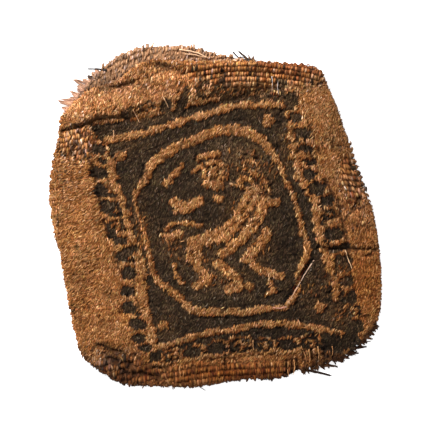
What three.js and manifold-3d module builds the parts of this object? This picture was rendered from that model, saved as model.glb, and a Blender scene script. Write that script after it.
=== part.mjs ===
// A torn square of weft-faced wool tapestry, lying face up on a flat surface.
// Millimetres, +X right, +Y up the face, +Z out of the face. z = 0 is the surface that it lies on.
import * as THREE from 'three';
import { mergeVertices } from 'three/addons/utils/BufferGeometryUtils.js';
import Module from 'manifold-3d';

const wasm = await Module();
wasm.setup();

// Driving sizes.
const CLOTH_THICK = 1.5;
const BACKING_THICK = 1.2;
const PART_GAP = 0.3;
const RIB_PITCH = 1.46;
const OUTLINE_STEP = 1.1;
const BLANK_TOP = 12;
const BLANK_BASE = -3;

// How the weave lies now, pulled out of square. Each line of places follows a rib from left to right.
// Places and lines are a third of the dark woven square apart, and that square takes up the middle.
const WEAVE = [
  {
    line: 'above the top edge',
    x: [-54, -36.8, -21.4, 1.4, 18.3, 33.9],
    y: [39.3, 46.6, 55.2, 52.8, 52.8, 49.7],
  },
  {
    line: 'top of the square',
    x: [-48.8, -30.8, -14.4, 3.2, 20.9, 37.6],
    y: [20.1, 25, 31, 35.4, 34.6, 30.5],
  },
  {
    line: 'upper third',
    x: [-48.8, -29.8, -11.1, 7.9, 26.9, 44.9],
    y: [1.4, 4.5, 9.2, 12.3, 12.3, 10.2],
  },
  {
    line: 'lower third',
    x: [-43, -23.8, -4.3, 15, 34.5, 53.2],
    y: [-20.5, -16.8, -13.2, -11.1, -10.6, -11.6],
  },
  {
    line: 'bottom of the square',
    x: [-37.3, -18.3, 0.1, 19.1, 37.8, 56.3],
    y: [-40.8, -37.4, -34.5, -33.5, -32.7, -31.9],
  },
  {
    line: 'below the bottom edge',
    x: [-32.1, -14.4, 2.7, 22, 40.7, 58.4],
    y: [-63.1, -59.5, -56.9, -54.8, -46.2, -42.3],
  },
];

// The stretch of that map that a woven block covers, as shares of its height, and its steps.
const REACH = { top: 0.05, bottom: 0.95, ribs: 67 };

// The torn edge, clockwise from the upper left corner, one table for each side.
const TOP_EDGE = [
  { x: -39.9, y: 26.3 },
  { x: -36.5, y: 29.7 },
  { x: -31.9, y: 33.2 },
  { x: -25.6, y: 35.2 },
  { x: -22.0, y: 38.3 },
  { x: -17.0, y: 40.5 },
  { x: -6.6, y: 40.4 },
  { x: 5.1, y: 40.5 },
  { x: 17.8, y: 40.2 },
  { x: 25.9, y: 39.1 },
  { x: 27.7, y: 38.0 },
];
const RIGHT_EDGE = [
  { x: 27.7, y: 38.0 },
  { x: 29.5, y: 33.6 },
  { x: 32.4, y: 26.3 },
  { x: 34.7, y: 19.6 },
  { x: 38.4, y: 8.9 },
  { x: 41.2, y: 0.3 },
  { x: 42.5, y: -7.2 },
  { x: 43.2, y: -17.6 },
  { x: 42.8, y: -24.4 },
  { x: 42.1, y: -27.0 },
];
const LOWER_RIGHT_EDGE = [
  { x: 42.1, y: -27.0 },
  { x: 39.2, y: -30.6 },
  { x: 34.8, y: -35.2 },
  { x: 29.8, y: -37.6 },
  { x: 21.2, y: -39.9 },
];
const BOTTOM_EDGE = [
  { x: 21.2, y: -39.9 },
  { x: 17.0, y: -41.8 },
  { x: 7.4, y: -42.2 },
  { x: 1.7, y: -43.1 },
  { x: -3.8, y: -44.1 },
  { x: -15.2, y: -44.0 },
  { x: -22.8, y: -43.6 },
  { x: -26.3, y: -42.6 },
];
const LEFT_EDGE = [
  { x: -26.3, y: -42.6 },
  { x: -29.5, y: -40.4 },
  { x: -33.4, y: -37.5 },
  { x: -35.5, y: -34.0 },
  { x: -37.1, y: -27.8 },
  { x: -38.9, y: -18.7 },
  { x: -40.4, y: -10.1 },
  { x: -42.2, y: -2.8 },
  { x: -43.2, y: 6.0 },
  { x: -42.5, y: 13.8 },
  { x: -40.8, y: 21.1 },
  { x: -39.9, y: 26.3 },
];

// Rib ends stand out of the right edge as short teeth between these heights.
const TEETH = { low: 2.5, high: 19.6, depth: 0.45 };

// The pale second layer: its torn edge past the face, and the edge that the face hides.
const BACKING_FRAYED_EDGE = [
  { x: -39.6, y: 26.9 },
  { x: -36.2, y: 30.8 },
  { x: -33.2, y: 34.6 },
  { x: -29.2, y: 39.0 },
];
const BACKING_OUTER_EDGE = [
  { x: -29.2, y: 39.0 },
  { x: -24.8, y: 42.4 },
  { x: -19.9, y: 43.9 },
  { x: -13.1, y: 44.6 },
  { x: -6.1, y: 44.3 },
  { x: -0.4, y: 42.8 },
  { x: 6.4, y: 41.3 },
  { x: 10.8, y: 40.2 },
];
const BACKING_HIDDEN_EDGE = [
  { x: 10.8, y: 40.2 },
  { x: 6.4, y: 37.5 },
  { x: -2.7, y: 37.0 },
  { x: -11.8, y: 37.0 },
  { x: -18.3, y: 35.4 },
  { x: -23.3, y: 32.8 },
  { x: -29.0, y: 30.7 },
  { x: -34.2, y: 27.9 },
  { x: -39.0, y: 25.6 },
  { x: -39.6, y: 26.9 },
];

// Where the face rides up over the pale layer: a band along the upper left edge.
const LIFT = { height: 1.85, halfWidth: 4.4, fade: 7 };

// Folds, ridges and troughs of the face. A positive height is a ridge, a negative one a trough.
const FOLDS = [
  { name: 'rolled top edge', height: 0.9, halfWidth: 1.2, x1: -14, y1: 39.1, x2: 10, y2: 39.2 },
  { name: 'rolled top edge, right', height: 0.9, halfWidth: 1.2, x1: 10, y1: 39.2, x2: 26.4, y2: 37.4 },
  { name: 'roll under the top edge', height: 0.5, halfWidth: 1.4, x1: -14, y1: 35.6, x2: 24, y2: 35.4 },
  { name: 'gap beside the roll', height: -0.6, halfWidth: 1.2, x1: -17, y1: 39.2, x2: -11, y2: 38.4 },
  { name: 'crest of the border fold', height: 0.5, halfWidth: 1.6, x1: -22, y1: 28.6, x2: 6, y2: 34.4 },
  { name: 'trough under the border', height: -0.4, halfWidth: 1.2, x1: -22, y1: 24.6, x2: 8, y2: 31.4 },
  { name: 'left seam, upper', height: -0.4, halfWidth: 1.6, x1: -31.9, y1: 13.6, x2: -29, y2: -2 },
  { name: 'left seam, lower', height: -0.4, halfWidth: 1.6, x1: -29, y1: -2, x2: -23, y2: -24 },
  { name: 'right seam, upper', height: -0.45, halfWidth: 1.6, x1: 24.6, y1: 18, x2: 32.4, y2: 0.6 },
  { name: 'right seam, lower', height: -0.45, halfWidth: 1.6, x1: 32.4, y1: 0.6, x2: 35, y2: -11.6 },
  { name: 'crack across the right margin', height: -0.5, halfWidth: 0.9, x1: 26.7, y1: -8.2, x2: 43, y2: -8 },
  { name: 'ridge beside the slit', height: 0.3, halfWidth: 2, x1: 27, y1: -11, x2: 19, y2: -22 },
  { name: 'seam over the bottom strip', height: -0.3, halfWidth: 0.8, x1: -11, y1: -37.4, x2: 34, y2: -34 },
  { name: 'crease at the lower left', height: 0.4, halfWidth: 2, x1: -35, y1: -33.5, x2: -25, y2: -41.6 },
];

// Flaps that lie over their neighbours: the strip above a line of places, with a steep lower side.
const FLAPS = [
  { name: 'upper left flap', height: 0.8, x1: -41, y1: 22.2, x2: -30.8, y2: 25.2, depth: 9, fade: 0.5 },
  { name: 'upper flap, middle', height: 0.6, x1: -30.8, y1: 25.2, x2: -21, y2: 27.2, depth: 8, fade: 0.5 },
  { name: 'right margin flap', height: 0.5, x1: 33.4, y1: -1.8, x2: 42, y2: -2.4, depth: 6, fade: 0.5 },
];

// Rounded hollows and swells.
const SWELLS = [
  { name: 'worn patch, lower left', height: -0.45, x: -27.4, y: -35.0, radiusX: 3.4, radiusY: 2.4 },
  { name: 'felted left margin', height: 0.3, x: -36.5, y: -2, radiusX: 6, radiusY: 26 },
  { name: 'left margin, upper', height: 0.3, x: -35, y: 12, radiusX: 4, radiusY: 8 },
  { name: 'medallion', height: -0.15, x: 1.5, y: -1, radiusX: 17, radiusY: 18 },
  { name: 'right margin, upper', height: 0.3, x: 30, y: 24, radiusX: 4, radiusY: 9 },
  { name: 'right margin, lower', height: 0.3, x: 40, y: -18, radiusX: 3, radiusY: 7 },
  { name: 'bottom strip', height: 0.25, x: 4, y: -40.5, radiusX: 22, radiusY: 2.6 },
];

// Ribs of grouped warps. They are low all over and stand out in these zones.
const RIB_HEIGHT = 0.1;
const RIB_ZONES = [
  { name: 'top rows', height: 0.16, x: 8, y: 38, radiusX: 22, radiusY: 4 },
  { name: 'right margin', height: 0.2, x: 35.5, y: 9, radiusX: 5, radiusY: 12 },
  { name: 'bottom strip', height: 0.12, x: 4, y: -41, radiusX: 34, radiusY: 4 },
  { name: 'right edge, lower', height: 0.12, x: 40, y: -10, radiusX: 5, radiusY: 6 },
  { name: 'left border', height: 0.08, x: -28, y: -6, radiusX: 5, radiusY: 20 },
];

// The slit beside the medallion, open right through.
const SLIT = { width: 0.6, x1: 25.2, y1: -11.5, x2: 17.8, y2: -22.8, bow: 0.4 };

// Frayed ends. Each strip lies just off the cloth's edge, and its strands lie level on the surface.
const STRIP = { width: 0.7, height: 1.1, trim: 0.7 };
const STRAND_HEIGHT = 0.35;
const FRAYS = [
  {
    name: 'fray_upper_left',
    color: 0xc9a48a,
    edge: BACKING_FRAYED_EDGE,
    out: { x: -0.82, y: 0.57 },
    strands: [
      { at: 0.02, length: 2.2, angle: 172, width: 0.9 },
      { at: 0.1, length: 2.9, angle: 160, width: 0.5 },
      { at: 0.2, length: 1.8, angle: 176, width: 0.7 },
      { at: 0.3, length: 2.4, angle: 158, width: 0.5 },
      { at: 0.4, length: 3.3, angle: 172, width: 0.5 },
      { at: 0.48, length: 2.0, angle: 164, width: 0.8 },
      { at: 0.57, length: 3.0, angle: 176, width: 0.5 },
      { at: 0.64, length: 1.6, angle: 150, width: 0.7 },
      { at: 0.73, length: 1.9, angle: 140, width: 0.5 },
      { at: 0.82, length: 4.2, angle: 175, width: 0.45 },
      { at: 0.9, length: 1.5, angle: 128, width: 0.6 },
      { at: 0.97, length: 1.3, angle: 120, width: 0.5 },
    ],
  },
  {
    name: 'fray_lower_right',
    color: 0x4a3424,
    edge: LOWER_RIGHT_EDGE.slice(0, 4),
    out: { x: 0.64, y: -0.77 },
    strands: [
      { at: 0.05, length: 1.5, angle: 10, width: 0.6 },
      { at: 0.17, length: 1.3, angle: -30, width: 0.6 },
      { at: 0.29, length: 1.9, angle: -14, width: 0.5 },
      { at: 0.4, length: 2.5, angle: 6, width: 0.45 },
      { at: 0.53, length: 3.0, angle: 8, width: 0.5 },
      { at: 0.65, length: 2.0, angle: 10, width: 0.5 },
      { at: 0.78, length: 0.8, angle: -40, width: 0.6 },
      { at: 0.9, length: 0.8, angle: -50, width: 0.6 },
    ],
  },
  {
    name: 'fray_bottom',
    color: 0x6b3f1e,
    edge: LOWER_RIGHT_EDGE.slice(3, 5),
    out: { x: 0.26, y: -0.97 },
    strands: [
      { at: 0.06, length: 3.4, angle: -6, width: 0.6 },
      { at: 0.22, length: 0.8, angle: -60, width: 0.6 },
      { at: 0.38, length: 0.7, angle: -80, width: 0.6 },
      { at: 0.55, length: 0.8, angle: -70, width: 0.6 },
      { at: 0.72, length: 6.6, angle: -13, width: 0.4 },
      { at: 0.88, length: 0.8, angle: -90, width: 0.6 },
    ],
  },
  {
    name: 'fray_top',
    color: 0x5a4436,
    edge: [
      { x: 6.8, y: 41.3 },
      { x: 10.6, y: 40.5 },
    ],
    out: { x: 0.2, y: 0.98 },
    strands: [
      { at: 0.12, length: 3.3, angle: 141, width: 0.4 },
      { at: 0.5, length: 1.0, angle: 110, width: 0.4 },
      { at: 0.85, length: 0.9, angle: 70, width: 0.4 },
    ],
  },
];

// A smooth curve through a table of places, as evenly spaced points.
function curvePoints(rows, step) {
  const places = rows.map((row) => new THREE.Vector3(row.x, row.y, 0));
  const curve = new THREE.CatmullRomCurve3(places, false, 'centripetal');
  return curve.getSpacedPoints(Math.max(2, Math.round(curve.getLength() / step)));
}

// The uneven bite of a torn edge, the same on each run.
function tear(x, y) {
  return 0.14 * Math.sin(2.9 * x + 1.7 * y) + 0.1 * Math.sin(5.3 * y - 4.1 * x + 2);
}

// Teeth of the rib ends, one for each rib.
function toothDepth(y) {
  if (y < TEETH.low || y > TEETH.high) return 0;
  const turn = (y / RIB_PITCH) % 1;
  return TEETH.depth * (Math.abs(turn - 0.5) * 4 - 1);
}

// Moves the points of one side outwards by a depth worked out at each of them. The ends stay.
function roughen(points, depthAt) {
  return points.map((point, index) => {
    const before = points[Math.max(0, index - 1)];
    const after = points[Math.min(points.length - 1, index + 1)];
    const along = new THREE.Vector3().subVectors(after, before).normalize();
    const isEnd = index === 0 || index === points.length - 1;
    const depth = isEnd ? 0 : depthAt(point.x, point.y);
    return new THREE.Vector2(point.x - along.y * depth, point.y + along.x * depth);
  });
}

// A closed outline from sides that follow each other.
function joinSides(sides) {
  return sides.flatMap((side) => side.slice(0, -1));
}

function faceOutline() {
  const tornSide = (rows) => roughen(curvePoints(rows, OUTLINE_STEP), tear);
  const teethStep = RIB_PITCH / 2;
  const withTeeth = (x, y) => toothDepth(y) + 0.5 * tear(x, y);
  return joinSides([
    tornSide(TOP_EDGE),
    roughen(curvePoints(RIGHT_EDGE, teethStep), withTeeth),
    LOWER_RIGHT_EDGE.map((row) => new THREE.Vector2(row.x, row.y)),
    tornSide(BOTTOM_EDGE),
    tornSide(LEFT_EDGE),
  ]);
}

function backingOutline() {
  return joinSides([
    BACKING_FRAYED_EDGE.map((row) => new THREE.Vector2(row.x, row.y)),
    roughen(curvePoints(BACKING_OUTER_EDGE, OUTLINE_STEP), tear),
    BACKING_HIDDEN_EDGE.map((row) => new THREE.Vector2(row.x, row.y)),
  ]);
}

// An upright block of an outline between two heights.
function prism(outline, low, high) {
  const shape = new THREE.Shape(outline);
  const geometry = new THREE.ExtrudeGeometry(shape, { depth: high - low, bevelEnabled: false });
  return geometry.translate(0, 0, low);
}

// A smooth thread through places that are evenly numbered, from 0 at the first to 1 at the last.
function thread(places) {
  return new THREE.CatmullRomCurve3(places, false, 'catmullrom');
}

const RIB_LINES = WEAVE.map(({ x, y }) => thread(x.map((value, i) => new THREE.Vector3(value, y[i], 0))));

// A block with a flat underside and a woven grid on top, larger than the cloth on every side.
function loomBlock(columns, rows, heightAt, base) {
  const geometry = new THREE.BufferGeometry();
  const threads = [];
  for (let column = 0; column <= columns; column += 1) {
    threads.push(thread(RIB_LINES.map((rib) => rib.getPoint(column / columns))));
  }
  const positions = [];
  for (let row = 0; row <= rows; row += 1) {
    const down = THREE.MathUtils.lerp(REACH.top, REACH.bottom, row / rows);
    threads.forEach((crossing) => {
      const { x, y } = crossing.getPoint(down);
      positions.push(x, y, heightAt(x, y, row));
    });
  }
  const faces = [];
  const width = columns + 1;
  for (let row = 0; row < rows; row += 1) {
    for (let column = 0; column < columns; column += 1) {
      const corner = row * width + column;
      faces.push(corner, corner + width, corner + 1);
      faces.push(corner + 1, corner + width, corner + width + 1);
    }
  }
  closeBlock(positions, faces, borderOf(columns, rows), base);
  geometry.setAttribute('position', new THREE.Float32BufferAttribute(positions, 3));
  geometry.setIndex(faces);
  return geometry;
}

// The grid's border points in order, anticlockwise from above.
function borderOf(columns, rows) {
  const width = columns + 1;
  const border = [];
  for (let row = 0; row < rows; row += 1) border.push(row * width);
  for (let column = 0; column < columns; column += 1) border.push(rows * width + column);
  for (let row = rows; row > 0; row -= 1) border.push(row * width + columns);
  for (let column = columns; column > 0; column -= 1) border.push(column);
  return border;
}

// Walls down from the border and a fan of faces underneath.
function closeBlock(positions, faces, border, base) {
  const first = positions.length / 3;
  border.forEach((index) => positions.push(positions[3 * index], positions[3 * index + 1], base));
  positions.push(0, 0, base);
  const centre = first + border.length;
  border.forEach((index, turn) => {
    const next = (turn + 1) % border.length;
    faces.push(index, first + turn, border[next]);
    faces.push(border[next], first + turn, first + next);
    faces.push(first + next, first + turn, centre);
  });
}

// Distance from a place to a straight stretch.
function stretchDistance(x, y, row) {
  const line = new THREE.Line3(
    new THREE.Vector3(row.x1, row.y1, 0),
    new THREE.Vector3(row.x2, row.y2, 0),
  );
  const place = new THREE.Vector3(x, y, 0);
  return line.closestPointToPoint(place, true, new THREE.Vector3()).distanceTo(place);
}

function foldHeight(x, y) {
  let height = 0;
  FOLDS.forEach((fold) => {
    const across = stretchDistance(x, y, fold) / fold.halfWidth;
    height += fold.height * Math.exp(-across * across);
  });
  return height;
}

function flapHeight(x, y) {
  let height = 0;
  FLAPS.forEach((flap) => {
    const along = new THREE.Vector2(flap.x2 - flap.x1, flap.y2 - flap.y1);
    const length = along.length();
    along.normalize();
    const s = (x - flap.x1) * along.x + (y - flap.y1) * along.y;
    const above = (y - flap.y1) * along.x - (x - flap.x1) * along.y;
    if (s < 0 || s > length || above < 0) return;
    const rise = THREE.MathUtils.smoothstep(above, 0, flap.fade);
    const fall = 1 - THREE.MathUtils.smoothstep(above, flap.fade, flap.depth);
    height += flap.height * rise * fall;
  });
  return height;
}

function swellHeight(x, y, rows) {
  let height = 0;
  rows.forEach((swell) => {
    const across = (x - swell.x) / swell.radiusX;
    const up = (y - swell.y) / swell.radiusY;
    height += swell.height * Math.exp(-across * across - up * up);
  });
  return height;
}

// Slow unevenness of old cloth.
function undulation(x, y) {
  return 0.12 * Math.sin(0.21 * x + 0.13 * y + 1) + 0.1 * Math.sin(0.17 * y - 0.29 * x);
}

// How high the face's underside stands off the surface, over the pale layer and beside it.
function liftHeight(x, y) {
  let nearest = Infinity;
  TOP_EDGE.slice(1, 8).forEach((row, index) => {
    const before = TOP_EDGE[index];
    const stretch = { x1: before.x, y1: before.y, x2: row.x, y2: row.y };
    nearest = Math.min(nearest, stretchDistance(x, y, stretch));
  });
  const { height, halfWidth, fade } = LIFT;
  return height * (1 - THREE.MathUtils.smoothstep(nearest, halfWidth, halfWidth + fade));
}

// Even rows are crests of the ribs and odd rows are the grooves between them.
function ribHeight(x, y, row) {
  const height = RIB_HEIGHT + swellHeight(x, y, RIB_ZONES);
  return row % 2 === 0 ? height : -height;
}

function faceHeight(x, y, row) {
  const form = foldHeight(x, y) + flapHeight(x, y) + swellHeight(x, y, SWELLS);
  return CLOTH_THICK + liftHeight(x, y) + undulation(x, y) + form + ribHeight(x, y, row);
}

function backingHeight(x, y, row) {
  return BACKING_THICK + 0.1 * Math.sin(0.5 * x) + (row % 2 === 0 ? 0.12 : -0.12);
}

// The lens-shaped outline of the slit.
function slitOutline() {
  const start = new THREE.Vector2(SLIT.x1, SLIT.y1);
  const end = new THREE.Vector2(SLIT.x2, SLIT.y2);
  const side = new THREE.Vector2().subVectors(end, start).normalize();
  const across = new THREE.Vector2(-side.y, side.x);
  const steps = 6;
  const bank = (sign) => {
    const points = [];
    for (let step = 0; step < steps; step += 1) {
      const t = sign > 0 ? step / steps : 1 - step / steps;
      const swell = Math.sin(Math.PI * t);
      const shift = swell * (SLIT.bow + (sign * SLIT.width) / 2);
      points.push(new THREE.Vector2().lerpVectors(start, end, t).addScaledVector(across, shift));
    }
    return points;
  };
  return [...bank(1), ...bank(-1)];
}

function toSolid(geometry) {
  const bare = geometry.clone();
  bare.deleteAttribute('normal');
  bare.deleteAttribute('uv');
  const merged = mergeVertices(bare, 1e-5);
  const vertProperties = new Float32Array(merged.attributes.position.array);
  const triVerts = new Uint32Array(merged.index.array);
  return new wasm.Manifold(new wasm.Mesh({ numProp: 3, vertProperties, triVerts }));
}

function toGeometry(solid) {
  const mesh = solid.getMesh();
  const geometry = new THREE.BufferGeometry();
  geometry.setAttribute('position', new THREE.Float32BufferAttribute(mesh.vertProperties, 3));
  geometry.setIndex([...mesh.triVerts]);
  geometry.computeVertexNormals();
  return geometry;
}

// The face's rows are crests and grooves by turns.
const RIB_ROWS = 2 * REACH.ribs;

function faceGeometry() {
  const blank = toSolid(prism(faceOutline(), BLANK_BASE, BLANK_TOP));
  const woven = toSolid(loomBlock(44, RIB_ROWS, faceHeight, BLANK_BASE));
  const hollow = toSolid(loomBlock(24, 30, liftHeight, BLANK_BASE - 1));
  const slit = toSolid(prism(slitOutline(), BLANK_BASE, BLANK_TOP));
  return toGeometry(blank.intersect(woven).subtract(hollow).subtract(slit));
}

function backingGeometry() {
  const blank = toSolid(prism(backingOutline(), 0, BLANK_TOP));
  const woven = toSolid(loomBlock(40, RIB_ROWS, backingHeight, BLANK_BASE));
  return toGeometry(blank.intersect(woven));
}

// One loose strand: a tapering four-sided lock that lies level on the surface.
function strandGeometry(root, angle, length, width) {
  const along = new THREE.Vector2(Math.cos(angle), Math.sin(angle));
  const across = new THREE.Vector2(-along.y, along.x);
  const stations = [
    { s: 0, bend: 0, share: 1 },
    { s: 0.5, bend: 0.05, share: 0.85 },
    { s: 1, bend: -0.03, share: 0.4 },
  ];
  const positions = [];
  const faces = [];
  stations.forEach(({ s, bend, share }) => {
    const middle = root.clone().addScaledVector(along, s * length);
    middle.addScaledVector(across, bend * length);
    const left = middle.clone().addScaledVector(across, (share * width) / 2);
    const right = middle.clone().addScaledVector(across, (-share * width) / 2);
    const top = STRAND_HEIGHT * (0.6 + 0.4 * share);
    positions.push(left.x, left.y, 0, right.x, right.y, 0);
    positions.push(right.x, right.y, top, left.x, left.y, top);
  });
  for (let station = 0; station < stations.length - 1; station += 1) {
    for (let side = 0; side < 4; side += 1) {
      const a = station * 4 + side;
      const b = station * 4 + ((side + 1) % 4);
      faces.push(a, a + 4, b, b, a + 4, b + 4);
    }
  }
  const last = (stations.length - 1) * 4;
  faces.push(0, 1, 2, 0, 2, 3);
  faces.push(last, last + 2, last + 1, last, last + 3, last + 2);
  const geometry = new THREE.BufferGeometry();
  geometry.setAttribute('position', new THREE.Float32BufferAttribute(positions, 3));
  geometry.setIndex(faces);
  return geometry;
}

// An edge cut back at both ends, so that strips round a corner stay apart.
function trimmed(rows, trim) {
  const places = rows.map((row) => ({ x: row.x, y: row.y }));
  const cutBack = (end, next) => {
    const length = Math.hypot(next.x - end.x, next.y - end.y);
    end.x += ((next.x - end.x) * trim) / length;
    end.y += ((next.y - end.y) * trim) / length;
  };
  cutBack(places[0], places[1]);
  cutBack(places.at(-1), places.at(-2));
  return places;
}

// A narrow strip off the cloth's edge with its strands fused to it.
function frayGeometry(fray) {
  const out = new THREE.Vector2(fray.out.x, fray.out.y).normalize();
  const shifted = (row, distance) => new THREE.Vector2(row.x, row.y).addScaledVector(out, distance);
  const edge = trimmed(fray.edge, STRIP.trim);
  const inner = edge.map((row) => shifted(row, PART_GAP));
  const outer = edge.map((row) => shifted(row, PART_GAP + STRIP.width)).reverse();
  let solid = toSolid(prism(orient([...inner, ...outer]), 0, STRIP.height));
  const middle = edge.map((row) => shifted(row, PART_GAP + STRIP.width / 2));
  const line = new THREE.CurvePath();
  for (let index = 1; index < middle.length; index += 1) {
    line.add(new THREE.LineCurve(middle[index - 1], middle[index]));
  }
  fray.strands.forEach((strand) => {
    const root = line.getPoint(strand.at);
    const angle = THREE.MathUtils.degToRad(strand.angle);
    solid = solid.add(toSolid(strandGeometry(root, angle, strand.length, strand.width)));
  });
  return toGeometry(solid);
}

// Puts an outline in anticlockwise order.
function orient(points) {
  return THREE.ShapeUtils.isClockWise(points) ? [...points].reverse() : points;
}

function namedMesh(name, geometry, color) {
  const material = new THREE.MeshStandardMaterial({ color, roughness: 0.95, metalness: 0 });
  const mesh = new THREE.Mesh(geometry, material);
  mesh.name = name;
  return mesh;
}

const group = new THREE.Group();
group.add(namedMesh('tapestry_sheet', faceGeometry(), 0xa5713f));
group.add(namedMesh('backing_cloth', backingGeometry(), 0xc9a48a));
FRAYS.forEach((fray) => group.add(namedMesh(fray.name, frayGeometry(fray), fray.color)));

export default group;
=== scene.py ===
# A torn square of old wool tapestry lying face up on a white table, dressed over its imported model.
# Tables and helpers work in millimetres, in the part's own frame, and meshes are made in metres.
import math
from collections import namedtuple
from functools import partial

import bpy
import numpy as np
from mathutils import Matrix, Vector
from mathutils.geometry import delaunay_2d_cdt


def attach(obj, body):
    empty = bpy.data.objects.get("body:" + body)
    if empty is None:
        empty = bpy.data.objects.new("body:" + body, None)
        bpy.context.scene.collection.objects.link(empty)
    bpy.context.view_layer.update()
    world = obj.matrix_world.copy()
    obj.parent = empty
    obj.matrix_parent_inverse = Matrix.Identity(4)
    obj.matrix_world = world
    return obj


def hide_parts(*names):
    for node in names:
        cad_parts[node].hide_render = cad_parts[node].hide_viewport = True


MM = 0.001
PHOTO_WIDTH = 112.32
PHOTO_CENTRE = (0.13, 0.31)
FACE_LEVEL = 1.8
SEED = 11

# Sizes of the woven layers, the same as in the part.
CLOTH_THICK = 1.5
BACKING_THICK = 1.2
RIB_PITCH = 1.46
PART_GAP = 0.3
RIBS = 67
REACH = (0.05, 0.95)
# Shares across the weave that the threads fill, and the weave's width and height.
ACROSS = (0.02, 0.98)
WEAVE_SPAN = (95, 105)

# How the weave lies: six ribs from the top down, with six places on each from left to right.
WEAVE = np.array([
    [(-54, 39.3), (-36.8, 46.6), (-21.4, 55.2), (1.4, 52.8), (18.3, 52.8), (33.9, 49.7)],
    [(-48.8, 20.1), (-30.8, 25), (-14.4, 31), (3.2, 35.4), (20.9, 34.6), (37.6, 30.5)],
    [(-48.8, 1.4), (-29.8, 4.5), (-11.1, 9.2), (7.9, 12.3), (26.9, 12.3), (44.9, 10.2)],
    [(-43, -20.5), (-23.8, -16.8), (-4.3, -13.2), (15, -11.1), (34.5, -10.6), (53.2, -11.6)],
    [(-37.3, -40.8), (-18.3, -37.4), (0.1, -34.5), (19.1, -33.5), (37.8, -32.7), (56.3, -31.9)],
    [(-32.1, -63.1), (-14.4, -59.5), (2.7, -56.9), (22, -54.8), (40.7, -46.2), (58.4, -42.3)],
])

# The torn edge, clockwise from the upper left corner.
TOP_EDGE = [
    (-39.9, 26.3), (-36.5, 29.7), (-31.9, 33.2), (-25.6, 35.2), (-22, 38.3), (-17, 40.5),
    (-6.6, 40.4), (5.1, 40.5), (17.8, 40.2), (25.9, 39.1), (27.7, 38),
]
RIGHT_EDGE = [
    (27.7, 38), (29.5, 33.6), (32.4, 26.3), (34.7, 19.6), (38.4, 8.9), (41.2, 0.3), (42.5, -7.2),
    (43.2, -17.6), (42.8, -24.4), (42.1, -27),
]
LOWER_RIGHT_EDGE = [(42.1, -27), (39.2, -30.6), (34.8, -35.2), (29.8, -37.6), (21.2, -39.9)]
BOTTOM_EDGE = [
    (21.2, -39.9), (17, -41.8), (7.4, -42.2), (1.7, -43.1), (-3.8, -44.1), (-15.2, -44),
    (-22.8, -43.6), (-26.3, -42.6),
]
LEFT_EDGE = [
    (-26.3, -42.6), (-29.5, -40.4), (-33.4, -37.5), (-35.5, -34), (-37.1, -27.8), (-38.9, -18.7),
    (-40.4, -10.1), (-42.2, -2.8), (-43.2, 6), (-42.5, 13.8), (-40.8, 21.1), (-39.9, 26.3),
]
BACKING_FRAYED_EDGE = [(-39.6, 26.9), (-36.2, 30.8), (-33.2, 34.6), (-29.2, 39)]
BACKING_OUTER_EDGE = [
    (-29.2, 39), (-24.8, 42.4), (-19.9, 43.9), (-13.1, 44.6), (-6.1, 44.3), (-0.4, 42.8),
    (6.4, 41.3), (10.8, 40.2),
]
BACKING_HIDDEN_EDGE = [
    (10.8, 40.2), (6.4, 37.5), (-2.7, 37), (-11.8, 37), (-18.3, 35.4), (-23.3, 32.8),
    (-29, 30.7), (-34.2, 27.9), (-39, 25.6), (-39.6, 26.9),
]
TEETH = {"low": 2.5, "high": 19.6, "depth": 0.45}
LIFT = {"height": 1.85, "half_width": 4.4, "fade": 7}
SLIT = {"width": 0.6, "start": (25.2, -11.5), "end": (17.8, -22.8), "bow": 0.4}

# Folds of the face: height, half width, then the two ends.
FOLDS = [
    (0.9, 1.2, -14, 39.1, 10, 39.2),
    (0.9, 1.2, 10, 39.2, 26.4, 37.4),
    (0.5, 1.4, -14, 35.6, 24, 35.4),
    (-0.6, 1.2, -17, 39.2, -11, 38.4),
    (0.5, 1.6, -22, 28.6, 6, 34.4),
    (-0.4, 1.2, -22, 24.6, 8, 31.4),
    (-0.4, 1.6, -31.9, 13.6, -29, -2),
    (-0.4, 1.6, -29, -2, -23, -24),
    (-0.45, 1.6, 24.6, 18, 32.4, 0.6),
    (-0.45, 1.6, 32.4, 0.6, 35, -11.6),
    (-0.5, 0.9, 26.7, -8.2, 43, -8),
    (0.3, 2, 27, -11, 19, -22),
    (-0.3, 0.8, -11, -37.4, 34, -34),
    (0.4, 2, -35, -33.5, -25, -41.6),
]

# Flaps that lie over their neighbours: height, the steep lower side's two ends, depth.
FLAPS = [
    (0.8, -41, 22.2, -30.8, 25.2, 9),
    (0.6, -30.8, 25.2, -21, 27.2, 8),
    (0.5, 33.4, -1.8, 42, -2.4, 6),
]
FLAP_FADE = 0.5

# Hollows and swells: height, place, radii.
SWELLS = [
    (-0.45, -27.4, -35, 3.4, 2.4),
    (0.3, -36.5, -2, 6, 26),
    (0.3, -35, 12, 4, 8),
    (-0.15, 1.5, -1, 17, 18),
    (0.3, 30, 24, 4, 9),
    (0.3, 40, -18, 3, 7),
    (0.25, 4, -40.5, 22, 2.6),
]
RIB_HEIGHT = 0.05
RIB_ZONES = [
    (0.16, 8, 38, 22, 4),
    (0.2, 35.5, 9, 5, 12),
    (0.12, 4, -41, 34, 4),
    (0.12, 40, -10, 5, 6),
    (0.08, -28, -6, 5, 20),
]

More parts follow.
